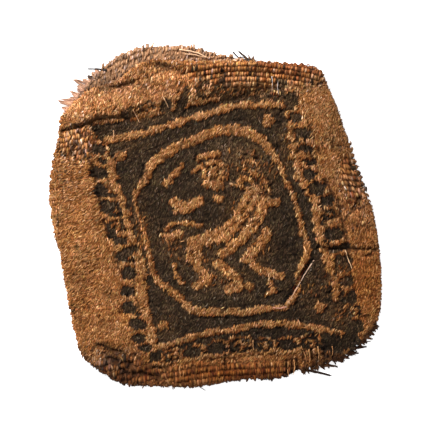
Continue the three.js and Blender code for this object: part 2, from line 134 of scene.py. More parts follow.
# Open crevices of the face: half width, then their places.
CREVICES = [
    (0.24, [(-39.9, 22.4), (-35.8, 23.2), (-32.6, 24.4), (-30.8, 25.4), (-26.9, 26), (-22.8, 25.8)]),
    (0.3, [(-33.4, 24.6), (-31.2, 25.7), (-28.8, 26.1)]),
    (0.34, [(25.4, -10.7), (21.8, -15.5), (20.3, -18.5), (17.9, -22.4)]),
    (0.45, [(-14.8, 39.6), (-12.3, 38.8)]),
    (0.5, [(-29.6, 33.5), (-26.6, 33.9), (-24, 34.1), (-21.4, 35)]),
    (0.12, [(-28.6, 12), (-27.6, 8), (-26.2, 5.4), (-25.6, 3), (-24.6, -1)]),
    (0.12, [(-21.4, -10.4), (-21, -13.7), (-21.2, -17), (-20.9, -20.2), (-19.8, -24)]),
    (0.12, [(23.2, 20), (24.2, 14), (26, 9), (28, 4.5), (28.4, 0), (29.6, -6)]),
    (0.12, [(-18.4, 17), (-15.4, 18.2), (-12, 19.8)]),
    (0.3, [(-30.6, -33.2), (-28.6, -33.4), (-27, -34.6), (-24.4, -35)]),
    (0.35, [(-28, -36.6), (-26.4, -37), (-25, -37.8)]),
    (0.3, [(-23.2, -37.6), (-21.4, -38)]),
    (0.3, [(-24.6, -39.4), (-22.6, -40.8), (-20.6, -40.6)]),
    (0.35, [(-19.6, -40.4), (-17.4, -41), (-15, -41.4)]),
    (0.25, [(-16.4, -39), (-13.2, -39.2)]),
    (0.2, [(18.6, -37), (18.5, -40.6)]),
    (0.2, [(19.8, -36.6), (19.9, -41)]),
    (0.2, [(21.2, -37), (21.4, -39.6)]),
    (0.22, [(22.8, -34.6), (22.9, -37.2)]),
    (0.2, [(25, -34.4), (25.3, -36.8)]),
    (0.2, [(26.6, -35.6), (26.4, -38)]),
    (0.22, [(28.2, -33.8), (28.4, -36.6)]),
    (0.25, [(30.4, -34), (30.6, -36.6)]),
    (0.12, [(-6, -26.2), (2, -26.1), (8, -26.2)]),
    (0.2, [(24.6, 18), (25.4, 14.9)]),
    (0.22, [(28.5, 9.7), (30.6, 5.8)]),
    (0.24, [(31.9, 4.5), (33.4, -3), (35, -11.6)]),
    (0.2, [(37.8, 5.4), (35.6, 2), (33.5, -1.2)]),
    (0.25, [(26.7, -7.9), (31, -8.2), (35, -8.3), (43.4, -8.3)]),
    (0.14, [(2.5, -31.9), (2.5, -40.2)]),
    (0.3, [(-31.9, 13.6), (-31, 9.5)]),
    (0.25, [(-30.4, 6.4), (-29.7, 2.4)]),
    (0.25, [(-29, -1), (-27.6, -5.4)]),
    (0.2, [(-26.4, -9.4), (-25.4, -13)]),
    (0.2, [(-18.9, 13.4), (-18, 11.4)]),
]
# How far the cloth sinks in an open crevice.
CREVICE_DEPTH = 0.8

# The outer line of the woven square, and the dark ground inside its border.
SQUARE = [
    (-30, 23.2), (-24.3, 27.9), (-9.5, 31.8), (-5.6, 34.4), (2.7, 35.4), (20.9, 34.8), (23, 27.4),
    (25.6, 20.1), (26.7, 12.5), (30, 3.4), (32.6, -3.6), (34.5, -10.9), (35.8, -18.9),
    (37.1, -26.7), (37.8, -32.7), (35.2, -35), (20.4, -35), (7.4, -35.6), (-5.6, -36.6),
    (-17.3, -38.7), (-18.3, -37.4), (-22, -26.7), (-23.8, -16.3), (-26.4, -7.2), (-29.3, 2.9),
    (-31.9, 14.4),
]
GROUND = [
    (-32.6, 24), (-29, 24.8), (-21.2, 25.9), (-13.4, 27.4), (-4, 29.8), (2.7, 31.3), (6.4, 32),
    (19.9, 32.6),
    (21.2, 27.4), (22, 17.5), (23.3, 12.3), (25.1, 8.6), (27.4, 5), (27.9, 1.4), (28.7, -3.3),
    (30, -8.5), (31.9, -13.7), (33.4, -18.9), (35.2, -25.4), (37.1, -29.3), (37.8, -33.5),
    (31.1, -34.5), (22, -33.5), (14.2, -33.7), (6.4, -34.5), (-0.1, -35), (-6.6, -35.6),
    (-11.8, -36.6), (-17, -37.6), (-17.6, -31.9), (-18.4, -24.1), (-19, -16.3), (-20.4, -9.8),
    (-22.6, -1.2), (-23.6, 4.5), (-25.2, 8.4), (-26.4, 13.6), (-29.8, 19.6),
]

# Light lines of the square: half width, how much it swells and over what length, then places.
LINES = [
    (0.8, 0.15, 6, [(-28.5, 20.5), (-23.7, 21.2), (-18.5, 22.2), (-14.6, 23.5), (-9.4, 25.1),
                    (-5.6, 26.4), (-1.7, 27.4), (2.9, 29), (7.4, 29.6), (13.9, 29.9), (17.7, 29.3)]),
    (1, 0.42, 2.6, [(19.4, 27.4), (20, 22), (20.6, 17.5), (21.4, 14), (21.6, 11), (23, 9),
                      (24.4, 7), (26, 4.5), (26.2, 1.5), (26.8, -2.5), (27.4, -6), (29, -10.6),
                      (30.4, -14)]),
    (0.55, 0.35, 2.2, [(30.6, -15.2), (32, -19.4)]),
    (0.7, 0.2, 7, [(-15.7, -34), (-12, -32.8), (-8, -31.4), (-2.2, -29.7), (4, -29), (10.5, -27.6),
                   (17, -27.2), (23.5, -27.9), (32.6, -29.8)]),
    (0.95, 0.32, 3.4, [(-27.4, 15), (-26.8, 12), (-26, 8), (-24.6, 5.5), (-24, 3), (-23, -1),
                       (-21.2, -7.2)]),
    (1.25, 0.3, 3.4, [(-21.2, -7.2), (-19.8, -10.4), (-19.1, -13.7), (-19.2, -17), (-19, -20.2),
                      (-18.2, -23.6)]),
    (1.15, 0.3, 2.6, [(-17.9, -25.6), (-16.9, -28.4), (-16.4, -31), (-15.6, -33.4)]),
]
# The medallion ring: place and half width.
RING = [
    (-20, 0.7, 0.3), (-20.8, 4, 0.36), (-21.1, 6, 0.6), (-19.5, 8.3, 0.85), (-17.8, 11, 1),
    (-17.2, 13.6, 1.1), (-14.8, 15.6, 1.2), (-12.5, 17.3, 1.2), (-10.2, 18.6, 1.2),
    (-7.5, 19.6, 1.2), (-4.9, 20.7, 1.2), (-2.2, 21.9, 1.2), (0.8, 22.9, 1.2), (3.4, 23.2, 1.2),
    (6.1, 23.1, 1.2), (8.4, 22.6, 1.2), (10.4, 21.6, 1.15), (12.4, 20.1, 1.1), (13.7, 18.3, 0.9),
    (15.3, 16.3, 0.8), (17, 13.6, 0.6), (17.7, 11, 0.5), (19.7, 7.3, 0.45), (22, 0.3, 0.6),
    (22.3, -3, 0.7), (23.6, -5.3, 0.8), (24, -8.6, 0.8), (23, -11, 0.8), (21.5, -14.6, 0.65),
    (21.4, -17.8, 0.75), (19.9, -21.2, 0.8), (18.5, -22.9, 0.7), (15.5, -23.2, 0.65), (12.4, -23.4, 0.8),
    (7.4, -24.4, 0.9), (2.2, -24.1, 0.95), (-3, -24.4, 0.95), (-6.2, -23.8, 0.9),
    (-9.4, -20.5, 0.8), (-12, -18.3, 0.75), (-14.6, -16.6, 0.75), (-16.6, -13.4, 0.7),
    (-17.2, -9.5, 0.6), (-17.8, -6.3, 0.4), (-19.1, -0.7, 0.3), (-20, 0.7, 0.3),
]

# Dark units of the border, which repeat unevenly round the square: place, half sizes, turn in
# degrees, and 1 for a light arch over the unit or 2 for an arch and a curl inside.
UNIT_SIZE = 1.12
UNITS = [
    (-30.3, 12, 2.2, 1.4, -5, 0), (-29.8, 7.3, 1.7, 1.6, 0, 1), (-27.7, 5.9, 1.8, 0.6, 0, 0),
    (-30.2, 18, 1.7, 1.3, -20, 1), (-29.4, 15, 1.3, 0.7, 0, 0), (-28, 2.9, 1.8, 1.7, -20, 1),
    (-25.9, 1, 1.9, 0.6, 0, 0), (-26, -2, 2.2, 1.4, 10, 2), (-26.7, -4.5, 1.6, 0.8, 0, 0),
    (-24.6, -5.7, 1.7, 1, 0, 0), (-22.8, -8.7, 2.9, 1.2, 25, 0),
    (-23, -10.9, 2.1, 0.5, 0, 0), (-22.5, -14.2, 1.8, 1.7, 0, 1), (-22.8, -18.9, 1.7, 1.4, 0, 0),
    (-22.5, -23.1, 1.7, 1.6, 0, 1), (-20.7, -24.6, 1.6, 0.6, -15, 0),
    (-20.2, -27.5, 2.2, 1.4, -10, 1), (-19.9, -31.1, 1.6, 1.2, 0, 0), (-18.1, -33.7, 1.6, 1, 0, 0),
    (-22.2, 27.4, 2.2, 1.4, 15, 1), (-17.8, 28.8, 2.3, 1.4, 20, 2), (-12.9, 29.3, 1.7, 1.3, 20, 0),
    (-8.7, 30, 1.2, 2.5, -25, 0), (-7.2, 33.3, 1, 1, 0, 0), (-2.5, 33.1, 2.2, 2, 0, 2),
    (2.2, 33.5, 2.5, 2.2, 0, 1), (7.2, 32.6, 2.3, 1, 0, 0), (12.6, 32.6, 2.1, 1.4, 0, 1),
    (17, 34.5, 1.4, 1.7, 0, 0), (19.6, 31, 2, 1.7, 0, 0), (20.7, 26.3, 1.7, 1.2, 0, 1),
    (22.8, 22.2, 2, 1.4, -10, 0), (23.8, 18.3, 1.7, 1, -10, 0), (24.6, 14.6, 2, 0.8, -10, 0),
    (24.6, 11.6, 1.7, 1.3, 0, 0), (26.4, 7.9, 2.1, 1.6, 0, 0), (29.1, 4.7, 1.6, 1.4, 20, 0),
    (29.5, 1, 1.6, 1.2, 0, 2), (30.8, -4.1, 2.2, 1.7, 0, 0), (32.4, -7.6, 2.5, 1, 10, 0),
    (33.1, -11.6, 2.2, 2.2, 0, 1), (34.2, -16.2, 1.7, 1.4, 0, 0), (35.4, -20.5, 1.4, 1.4, 0, 0),
    (36, -24.1, 1.7, 1.4, 0, 2), (36.5, -28, 1.7, 1.7, 0, 0), (-15, -35.8, 2.1, 1.2, 10, 0),
    (-11.1, -35.8, 2.1, 1.3, 15, 2), (-5.9, -34.8, 2.3, 1.3, 15, 1), (0.4, -33.7, 2.3, 1.4, 10, 1),
    (6.4, -33, 2.7, 1.7, 5, 2), (12.3, -33, 2.5, 1.4, 0, 2), (18.9, -32.8, 2.5, 1.4, 0, 1),
    (24.6, -32.4, 2.2, 1.7, 0, 2), (30.6, -33, 3, 1.7, -5, 0),
]

# Light shapes: strokes of a beast of a common kind, with rounded ends. Radius, then places.
STROKES = [
    (3.4, [(0, 12)]),
    (0.8, [(-4.4, 15.8), (-1.5, 16.8), (0.8, 16.6)]),
    (0.5, [(-6, 12), (-3.6, 13.8)]),
    (0.8, [(-13, 9), (-9, 13.4)]),
    (0.8, [(-2.4, 8.9), (1.4, 8.2)]),
    (1.3, [(-10.6, 4.2), (-8, 2.7), (-4.2, 4.4)]),
    (0.6, [(-8, 3.6), (-10.4, 1.8)]),
    (0.8, [(0.2, 5.4), (1.6, 5)]),
    (2, [(10.4, 6.6), (7.8, 3), (6, -1), (2.6, -4), (-2, -5.2)]),
    (0.9, [(-2, -5), (-6.4, -5.6)]),
    (1.3, [(12.7, 4.2), (11.5, 0.6), (9.1, -2.7), (5.4, -6.4), (2, -9.1)]),
    (1.6, [(13.2, -4), (10.6, -7.2), (8, -10)]),
    (0.9, [(8.4, -10.4), (11.4, -13.3), (14.4, -14.3), (17.2, -15.2)]),
    (0.6, [(14, -16.2), (15, -18.8)]),
    (0.5, [(15.6, -18.6), (13.4, -19.6)]),
    (1.2, [(0.8, -11.8), (4, -14.2), (5.8, -16.4)]),
    (1.3, [(3.4, -18.2), (6, -17.6)]),
    (0.8, [(8.6, -17.4), (9.2, -18)]),
    (2, [(-5.6, -7.2), (-5.4, -10)]),
    (1.1, [(-5.6, -10), (-4.2, -13), (-2.8, -15)]),
    (1, [(-3.6, -16.6), (-5, -17.6)]),
    (0.8, [(-2, -17), (-1.2, -15)]),
    (0.45, [(-14, -4.4), (-11.6, -1.4), (-7.4, -1), (-4, -1.8)]),
    (1, [(-12, -5), (-9.4, -4.2)]),
    (0.5, [(-10.8, -12), (-10.2, -14.8), (-8.6, -16.8)]),
    (1, [(13.9, 4.6), (16, 4.2)]),
    (0.7, [(9.6, 12.2), (10.6, 11.4)]),
    (0.3, [(8.6, 15.4), (10.4, 14.6), (11.6, 12.8)]),
    (0.4, [(7, 10.8), (8.8, 10.2), (10.2, 8.6)]),
    (0.4, [(12, 10.8), (13.4, 8.8), (14.4, 6.4)]),
    (0.45, [(4.4, 8.8), (6.8, 8.4), (8.4, 7.4)]),
    (0.4, [(3.6, 17.9)]), (0.6, [(9.8, 17)]), (0.6, [(7.7, 13)]), (0.7, [(6.4, 9.7)]),
    (1.4, [(-24.6, 16.4)]), (1.5, [(13.7, 25.4)]), (1.2, [(-13.7, -27.8)]), (1.4, [(27.4, -23)]),
    (0.8, [(31, -16.4), (31.4, -21)]),
]

# Dark lines drawn over the light shapes: half width, then places.
DARK_STROKES = [
    (0.35, [(-2.1, 11.2), (-2, 13.2), (-0.3, 14), (1.2, 12.8), (0.6, 10.9), (-0.8, 10.5)]),
    (0.5, [(10.4, 3), (8.6, -0.2), (6, -3.8), (3.4, -6)]),
    (0.36, [(12.2, -3.6), (8.8, -7), (6, -10.4)]),
    (0.4, [(-2.4, -8), (-0.4, -6.6), (1.6, -7.8)]),
    (0.3, [(11.2, -6), (9.8, -7.2)]),
    (0.4, [(-25.4, 4.4), (-24.6, 1), (-23.6, -3)]),
    (0.16, [(9.8, 5.8), (7.4, 2.2), (4.8, -1.4), (1, -3.8)]),
    (0.16, [(12.8, 2.4), (11, -1), (8, -4.2)]),
    (0.2, [(2.4, 13.6), (3, 11.4), (1.8, 9.6)]),
    (0.16, [(-6.6, -7.2), (-5.8, -9.4), (-5.2, -12)]),
    (0.2, [(-9.8, 4.2), (-6.4, 4.4)]),
    (0.16, [(1.8, -12.6), (4.4, -15), (5, -17.4)]),
]

# Mottled places, half light and half dark: share of light, place, radii.
MOTTLES = [
    (0.6, 4, 33.5, 17, 3),
    (0.55, -20, 28, 6, 3),
    (0.6, 12.4, 8, 2.6, 4),
    (0.8, -19, -4, 1.6, 6),
    (0.5, 31, -15, 4, 5),
    (0.5, 7, 1, 5, 5),
    (0.5, 11, -8, 4, 5),
    (0.4, -3, -10, 4, 6),
    (0.4, 3, -16, 5, 3),
    (0.35, 0, 12, 4, 4),
    (0.45, 9, 14, 5.5, 4),
    (0.5, -11, -6.5, 4.5, 4.5),
    (0.35, -7.5, -10, 4, 4),
    (0.3, 0, -17, 6, 2),
    (0.35, 15, 12, 3, 4),
    (0.4, 18.6, 18, 2.4, 8),
    (0.35, 25, -20, 5, 5),
    (0.4, -20.5, 0, 3, 6),
    (0.3, -24, 20, 5, 3),
    (0.35, 15.6, 30.5, 4, 3),
    (0.25, -13, -28, 4, 4),
    (0.6, 32, -25.6, 3, 3.2),
]

# Colours of the wools, as red, green and blue from 0 to 255.
DARK_WOOL = (60, 45, 28)
LIGHT_WOOL = (172, 117, 66)
MARGIN_WOOL = (172, 113, 61)
PALE_WOOL = (176, 131, 92)
GREYED_WOOL = (86, 70, 54)
BROWN_WOOL = (104, 68, 42)
# Dark brown painted shade for the sheet where it shows in the gaps between wefts.
GAP_SHADE = (58, 34, 18)
# Tan wool has at most this much blue for its green.
MOST_BLUE = 0.68
# Other yarns in the margins and in the pale layer: from and to which share of them, and colour.
MIXED_YARNS = [(0, 0.4, BROWN_WOOL), (0.4, 0.65, DARK_WOOL), (0.65, 1, PALE_WOOL)]
PALE_YARNS = [(0, 0.3, (160, 114, 78)), (0.72, 0.88, (128, 98, 74)), (0.88, 1, (200, 160, 134))]

# Patches where the margins are lighter or darker, mostly lighter at the upper left and darker towards
# the bottom and the right: colour factors, place, radii.
TONE_PATCHES = [
    ((1.32, 1.44, 1.75), -28, 30, 14, 7),
    ((0.86, 0.88, 0.92), -42.5, -2, 3, 28),
    ((0.88, 0.86, 0.84), -31, -29, 6, 3.5),
    ((0.9, 0.9, 0.9), -30, -12, 5, 4),
    ((1.15, 1.17, 1.22), -35, 6.5, 4, 3.5),
    ((0.72, 0.78, 0.86), 31, 24, 6, 12),
    ((0.53, 0.54, 0.62), 37, 8, 6, 9),
    ((0.6, 0.48, 0.32), 38, -16, 8, 11),
    ((0.37, 0.25, 0.12), 10, -41, 34, 4.6),
    ((0.4, 0.34, 0.29), -22, -40.5, 10, 4),
    ((0.84, 0.8, 0.79), 8, 38, 22, 3.4),
    ((0.76, 0.56, 0.5), 22, 39.5, 8, 3),
    ((0.46, 0.44, 0.42), -26.3, -35.6, 3.6, 2.2),
    ((0.75, 0.72, 0.7), 34, 15.5, 3, 3.4),
    ((1.15, 1.15, 1.15), 28, 22, 3, 3),
    ((0.86, 0.86, 0.86), 25, 27, 3, 2.4),
    ((0.82, 0.8, 0.78), 32.5, 3, 3, 4),
    ((1.25, 1.18, 1.1), -9, 34.5, 4, 2),
    ((1.35, 1.5, 1.9), 2, 33.6, 20, 3),
    ((0.7, 0.82, 0.95), 25, 36, 3.4, 3),
    ((0.75, 0.82, 0.88), 4, -24, 15, 2.4),
    ((1.25, 1.2, 1.2), 36.8, 0.6, 3, 2.6),
    ((0.3, 0.26, 0.22), 34, -36.5, 8, 3.4),
    ((1.2, 1.28, 1.5), -36, 19.4, 5, 4),
    ((1.2, 1.3, 1.6), -29, -38, 2.6, 2.4),
    ((0.55, 0.55, 0.55), 6, -33, 26, 3),
]

# Margins where other yarns are mixed in: share of the threads, place, radii.
MIXED = [
    (0.6, -36, 19, 6, 5),
    (0.5, -27, -38.6, 8, 4),
    (0.3, -39, 12, 3, 6),
    (0.2, 8, 37.5, 22, 4),
    (0.35, 38, 8, 4, 9),
    (0.3, 30, -36, 6, 4),
]

# Where the dark wool has faded, or is deeper: colour factor, place, radii.
FADED = [
    (1.7, 5, 17.6, 7, 4.6),
    (1.3, 0, -17.5, 10, 4),
    (1.5, 4, 33.2, 20, 2.6),
    (1.5, -20, 27.6, 7, 2),
    (0.72, 12.6, -8, 2.4, 3),
    (0.72, 17, -7, 4, 6),
    (0.75, -16, -1, 5, 6),
    (0.75, 0, 2, 4, 4),
    (0.75, 24, -22, 6, 6),
    (0.8, -10, -27, 7, 4),
    (0.7, 12, -25.6, 9, 1.8),
    (0.6, 22, -32, 16, 3),
]

# Painted shade beside the torn edges along the bottom and the right, the sides away from the lamp: how
# much light is left, how far in, and along which edge.
SHADED_EDGES = [
    (0.3, 0.8, BOTTOM_EDGE + LEFT_EDGE[1:4]),
    (0.35, 1, LOWER_RIGHT_EDGE),
    (0.55, 0.7, RIGHT_EDGE),
]
# Short gaps scattered over the cloth, in millimetres and degrees.
NICKS = {"count": 190, "half_lengths": (0.3, 1.3), "half_widths": (0.07, 0.16), "turns": (12, 34, 100)}

# How the wefts lie: place, radii, lean in degrees clockwise, width and height in millimetres, and
# how felted they are, from 0 in clear rows to 1. Wefts wider than COARSE lie in full rows.
PLAIN_LAY = (34, 0.29, 0.2, 0.95)
COARSE = 0.45
LAYS = [
    (-37, -2, 8, 30, 56, 0.31, 0.2, 1),
    (-30, 31, 12, 6, 30, 0.31, 0.22, 0.95),
    (-35.8, 19, 5, 4.6, 8, 0.58, 0.46, 0.5),
    (11, 37.4, 21, 4.6, 16, 0.62, 0.52, 0.15),
    (32, 24, 5, 10, 36, 0.3, 0.2, 0.95),
    (37, 11, 4.6, 7.5, -12, 0.62, 0.46, 0.3),
    (40, -18, 4, 9, 24, 0.3, 0.22, 0.9),
    (8, -41, 30, 3.4, 2, 0.54, 0.46, 0.3),
    (-24, -40, 8, 4, 10, 0.66, 0.5, 0.5),
    (-43, 0, 3, 22, 10, 0.36, 0.26, 0.8),
]
PALE_LAY = (24, 0.58, 0.4, 0.5)
PALE_ROWS = 88

# Shape of one weft from end to end: place, height, width and painted shade.
FINE_WEFT = [(-0.5, -0.4, 0.4, 0.45), (-0.2, 1, 1, 1.08), (0.2, 1, 1, 1.08), (0.5, -0.4, 0.4, 0.45)]
COARSE_WEFT = [
    (-0.5, -0.35, 0.35, 0.3), (-0.36, 0.45, 0.85, 0.75), (-0.14, 1, 1, 1.1), (0.14, 1, 1, 1.1),
    (0.36, 0.45, 0.85, 0.75), (0.5, -0.35, 0.35, 0.3),
]
# Shape of a loose fibre: place, height and width.
FIBRE = [(-0.5, 0.1, 0.5), (-0.25, 0.8, 1), (0, 1, 1), (0.25, 0.9, 0.8), (0.5, 0.5, 0.4)]
# Shape of a broken yarn end on a rim: place, how much its reach adds, level, painted shade that darkens
# it as it drops over the rim, and width.
RIM_YARN = [
    (-0.9, 0, 0.02, 1, 0.5), (-0.5, 0, 0.06, 1, 1), (-0.2, 1, -0.22, 0.9, 1.05),
    (0, 1, -0.62, 0.7, 1), (0.03, 1, -1, 0.5, 0.7),
]
# The share of a layer's thickness at which its top and its underside meet on the rim.
RIM_LEVEL = 0.35
# Light wool is thicker than dark, so it stands this much higher.
LIGHT_RISE = 0.32
# How much more green and blue change than red where wool is lit or shaded.
TAN_TONE = (1, 1.4, 1.95)
DARK_TONE = (1, 1.04, 1.12)
# Pieces of fine wefts in the order of the motif's wools, and how each is toned.
FINE_PIECES = [("margin_wefts", TAN_TONE), ("dark_wefts", DARK_TONE), ("light_wefts", TAN_TONE)]
# Painted light and shade on the four sides of a tube, lighter on top and darker underneath, and steps
# that give each loft a number of its own up to 1.
TUBE_SHADE = np.array([[[0.9, 1.15, 0.9, 0.6]]])
LOFT_STEP = 0.618

# Frayed ends, close to the part's own: name, slot, out direction and edge, then strands as share
# of the edge, length, angle in degrees and width.
FRAYS = [
    ("fray_upper_left", "pale_wool", (-0.82, 0.57), BACKING_FRAYED_EDGE, [
        (0.05, 1.2, 168, 0.5), (0.16, 3, 168, 0.7), (0.21, 4.1, 176, 0.9), (0.29, 1.2, 160, 0.5),
        (0.37, 2.2, 152, 0.8), (0.46, 1.1, 150, 0.5), (0.53, 1.8, 162, 0.8), (0.6, 3.9, 156, 0.9),
        (0.68, 1.6, 150, 0.7), (0.76, 1.3, 140, 0.8), (0.85, 1, 130, 0.6), (0.93, 0.9, 124, 0.5),
    ]),
    ("fray_lower_right", "tapestry_wool", (0.64, -0.77), LOWER_RIGHT_EDGE[:4], [
        (0.05, 1.5, 10, 0.6), (0.17, 1.4, -30, 0.6), (0.29, 1.9, -14, 0.5), (0.4, 2.5, 6, 0.45),
        (0.53, 3, 8, 0.5), (0.65, 2.2, 0, 0.5), (0.78, 1.5, -30, 0.6), (0.9, 1.5, -40, 0.6),
    ]),
    ("fray_bottom", "tapestry_wool", (0.26, -0.97), LOWER_RIGHT_EDGE[3:], [
        (0.06, 3.4, -6, 0.6), (0.22, 1.4, -50, 0.6), (0.38, 1.2, -70, 0.6), (0.55, 1.1, -70, 0.6),
        (0.72, 6.6, -13, 0.4), (0.88, 1, -80, 0.6),
    ]),
    ("fray_top", "pale_wool", (0.2, 0.98), [(6.8, 41.3), (10.6, 40.5)], [
        (0.12, 3.3, 141, 0.4), (0.5, 1, 110, 0.4), (0.85, 0.9, 70, 0.4),
    ]),
]
STRIP = {"width": 0.7, "trim": 0.7}
TUFT_HEIGHT = 0.9

# How each fray looks: whether of pale wool, colour, how much wider its tufts are than its strands,
# the longest of the short ends between them, and shades of the strands at some shares.
FRAY_COLOURS = {
    "fray_upper_left": (True, (188, 140, 110), 1.8, 0.5, {0.76: 0.16, 0.29: 0.5, 0.6: 0.8, 0.46: 0.6}),
    "fray_lower_right": (False, (78, 48, 28), 1.5, 1.7, {0.4: 0.5, 0.53: 0.4, 0.65: 0.5}),
    "fray_bottom": (False, (96, 60, 34), 1.3, 1.5, {0.72: 0.25, 0.06: 0.6}),
    "fray_top": (False, (104, 72, 48), 1.1, 0.5, {0.12: 0.4}),
}

# Threads: colour, radius, whether heights are above the face, then places with heights. Most are loose
# threads; those along the slit are painted shade and painted highlights.
THREADS = [
    # Four dark threads in and along the slit, painted shade for the shadow inside it.
    ((54, 28, 15), 0.26, False, (25.1, -11.7, 0.7), (23.8, -13.9, 0.6), (21.7, -17.3, 0.6),
     (19.6, -20.3, 0.6), (17.9, -22.6, 0.7)),
    ((48, 26, 14), 0.26, False, (25.2, -11.8, 0.5), (24, -14.1, 0.5), (22.1, -17.4, 0.5),
     (19.9, -20.6, 0.5), (18.1, -22.7, 0.5)),
    ((50, 26, 14), 0.26, False, (25.2, -11.7, 0.9), (23.9, -14, 0.8), (21.9, -17.35, 0.8),
     (19.75, -20.45, 0.8), (18, -22.6, 0.9)),
    ((84, 30, 12), 0.27, True, (25.1, -10.9, 0), (22, -15.4, 0), (20.4, -18.5, 0),
     (18, -22.3, 0)),
    # Three light threads along the slit's lower right edge and past its end, painted highlights where
    # that edge faces the lamp.
    ((204, 164, 134), 0.15, True, (25.6, -11.2, 0.1), (22.6, -15.8, 0.15), (21.2, -18.4, 0.1)),
    ((196, 150, 116), 0.17, True, (21.2, -18.2, 0.1), (19.9, -20.6, 0.15), (18.4, -23, 0.05)),
    ((200, 140, 116), 0.2, True, (18.5, -23.3, 0.05), (16.6, -23.7, 0.12), (14.8, -23.5, 0)),
    ((44, 26, 12), 0.26, False, (22.6, -39.7, 0.9), (25.8, -40.4, 0.6), (29.9, -41.4, 0.3)),
    ((44, 38, 36), 0.32, False, (-28.4, 38.2, 1.3), (-30.6, 38.6, 0.9), (-33.4, 38.7, 0.4)),
    ((190, 150, 120), 0.1, False, (-41, -1, 1.6), (-42.3, -3, 1.2), (-42.3, -5, 0.9),
     (-41.2, -6.8, 0.7)),
    ((226, 182, 140), 0.24, False, (-9.4, 43.6, 1.7), (-6, 43.1, 1.8), (-3.6, 42.3, 1.8),
     (-1.8, 41.3, 1.9)),
    ((214, 168, 126), 0.2, False, (-8, 42.4, 1.6), (-5, 42.2, 1.9), (-2.4, 41.4, 1.9)),
    ((58, 48, 40), 0.24, False, (4.6, 43.1, 0.3), (5.6, 41.8, 0.6), (7.9, 40.9, 1.1),
     (10.4, 40.3, 1.6)),
    ((52, 40, 32), 0.14, False, (6.4, 41.9, 0.4), (8.4, 41.2, 1), (11, 40.6, 1.7)),
    ((224, 178, 128), 0.12, True, (33.7, -8.5, 0.3), (34.5, -10.8, 0.4), (35.5, -13.4, 0.3)),
    ((200, 140, 84), 0.12, True, (18.9, -37.6, 0.3), (18.8, -39.6, 0.4), (19, -41.6, 0.2)),
    ((200, 140, 84), 0.12, True, (20.4, -37, 0.3), (20.6, -39, 0.4), (20.2, -41, 0.2)),
    ((196, 142, 90), 0.12, True, (9.8, -31.9, 0.3), (9.7, -33.2, 0.4), (9.9, -34.6, 0.2)),
    ((196, 142, 90), 0.12, True, (15.2, -31.9, 0.3), (15.3, -33.2, 0.4), (15.1, -34.4, 0.2)),
    ((186, 130, 78), 0.12, True, (-9.2, -38.4, 0.3), (-9.3, -40, 0.4), (-9, -41.8, 0.2)),
    ((196, 140, 86), 0.13, True, (26.6, -33.6, 0.3), (26.9, -35.4, 0.4), (26.8, -37, 0.2)),
    ((190, 134, 80), 0.13, True, (24.2, -34.4, 0.3), (24.6, -36, 0.4), (24.4, -37.8, 0.2)),
    ((180, 124, 74), 0.13, True, (22.6, -34.2, 0.3), (23.4, -36, 0.4), (23.6, -37.6, 0.2)),
    ((184, 126, 76), 0.13, True, (30.4, -33.6, 0.3), (30.6, -35, 0.4), (30.2, -36.4, 0.2)),
    ((206, 186, 170), 0.1, True, (14.6, 36.6, 0.4), (14.8, 35, 0.5), (14.7, 33.2, 0.3)),
    ((200, 180, 164), 0.1, True, (16.2, 35.4, 0.4), (16.1, 33.6, 0.5), (16.4, 31.8, 0.3)),
    ((60, 44, 32), 0.16, False, (-4.2, -42.6, 0.9), (-4.2, -44.2, 0.7), (-2.6, -45.2, 0.3)),
    ((216, 166, 118), 0.13, True, (-21.4, 27.8, 0.3), (-20.6, 26.4, 0.5), (-19.8, 24.6, 0.3)),
    ((216, 166, 118), 0.13, True, (-13.6, 31.2, 0.3), (-12.8, 29.8, 0.5), (-12.2, 28.4, 0.3)),
    ((206, 156, 108), 0.12, True, (-26.6, 22.6, 0.3), (-26.4, 21.2, 0.5), (-26.6, 19.8, 0.3)),
]

# The lamp: place in metres, size and power.
LAMP = {"place": (-0.3, 0.36, 0.34), "size": 0.16, "power": 6.4}

# A woven layer: outline and holes, heights of its underside, of the cloth under its wefts and of
# its top, how its wefts lie, colours of its threads and of its sheet, slot and material.
Layer = namedtuple(
    "Layer", "outline holes base_at ground_at top_at lay_at colours_at tints_at slot material"
)


def smoothstep(value, low, high):
    share = np.clip((value - low) / (high - low), 0, 1)
    return share * share * (3 - 2 * share)


def linear(colour):
    """A colour from 0 to 255 in display values as linear light."""
    share = np.array(colour, float) / 255
    return np.where(share < 0.04045, share / 12.92, ((share + 0.055) / 1.055) ** 2.4)


def stretch_distance(x, y, x1, y1, x2, y2):
    """Distance from places to a straight stretch, and how far along it the nearest point is."""
    dx, dy = x2 - x1, y2 - y1
    length = math.hypot(dx, dy)
    share = np.clip(((x - x1) * dx + (y - y1) * dy) / length**2, 0, 1)
    return np.hypot(x - x1 - share * dx, y - y1 - share * dy), share * length


def path_distance(x, y, path):
    """Distance from places to a path or a single point, and how far along the nearest point is."""
    if len(path) == 1:
        return np.hypot(x - path[0][0], y - path[0][1]), np.zeros_like(x)
    best, along = np.full(x.shape, np.inf), np.zeros(x.shape)
    run = 0.0
    for start, end in zip(path, path[1:]):
        distance, passed = stretch_distance(x, y, *start, *end)
        along = np.where(distance < best, run + passed, along)
        best = np.minimum(best, distance)
        run += math.dist(start, end)
    return best, along


def closed_sides(outline):
    """The straight sides of a closed outline, each as its two ends."""
    return zip(outline, np.roll(outline, -1, axis=0))


def inside(x, y, outline):
    found = np.zeros(x.shape, bool)
    for (x1, y1), (x2, y2) in closed_sides(outline):
        if y1 != y2:
            crosses = (y1 > y) != (y2 > y)
            found ^= crosses & (x < (x2 - x1) * (y - y1) / (y2 - y1) + x1)
    return found


def on_cloth(x, y, outline, holes):
    """True for each place inside an outline and outside its holes."""
    found = inside(x, y, outline)
    for hole in holes:
        found &= ~inside(x, y, hole)
    return found


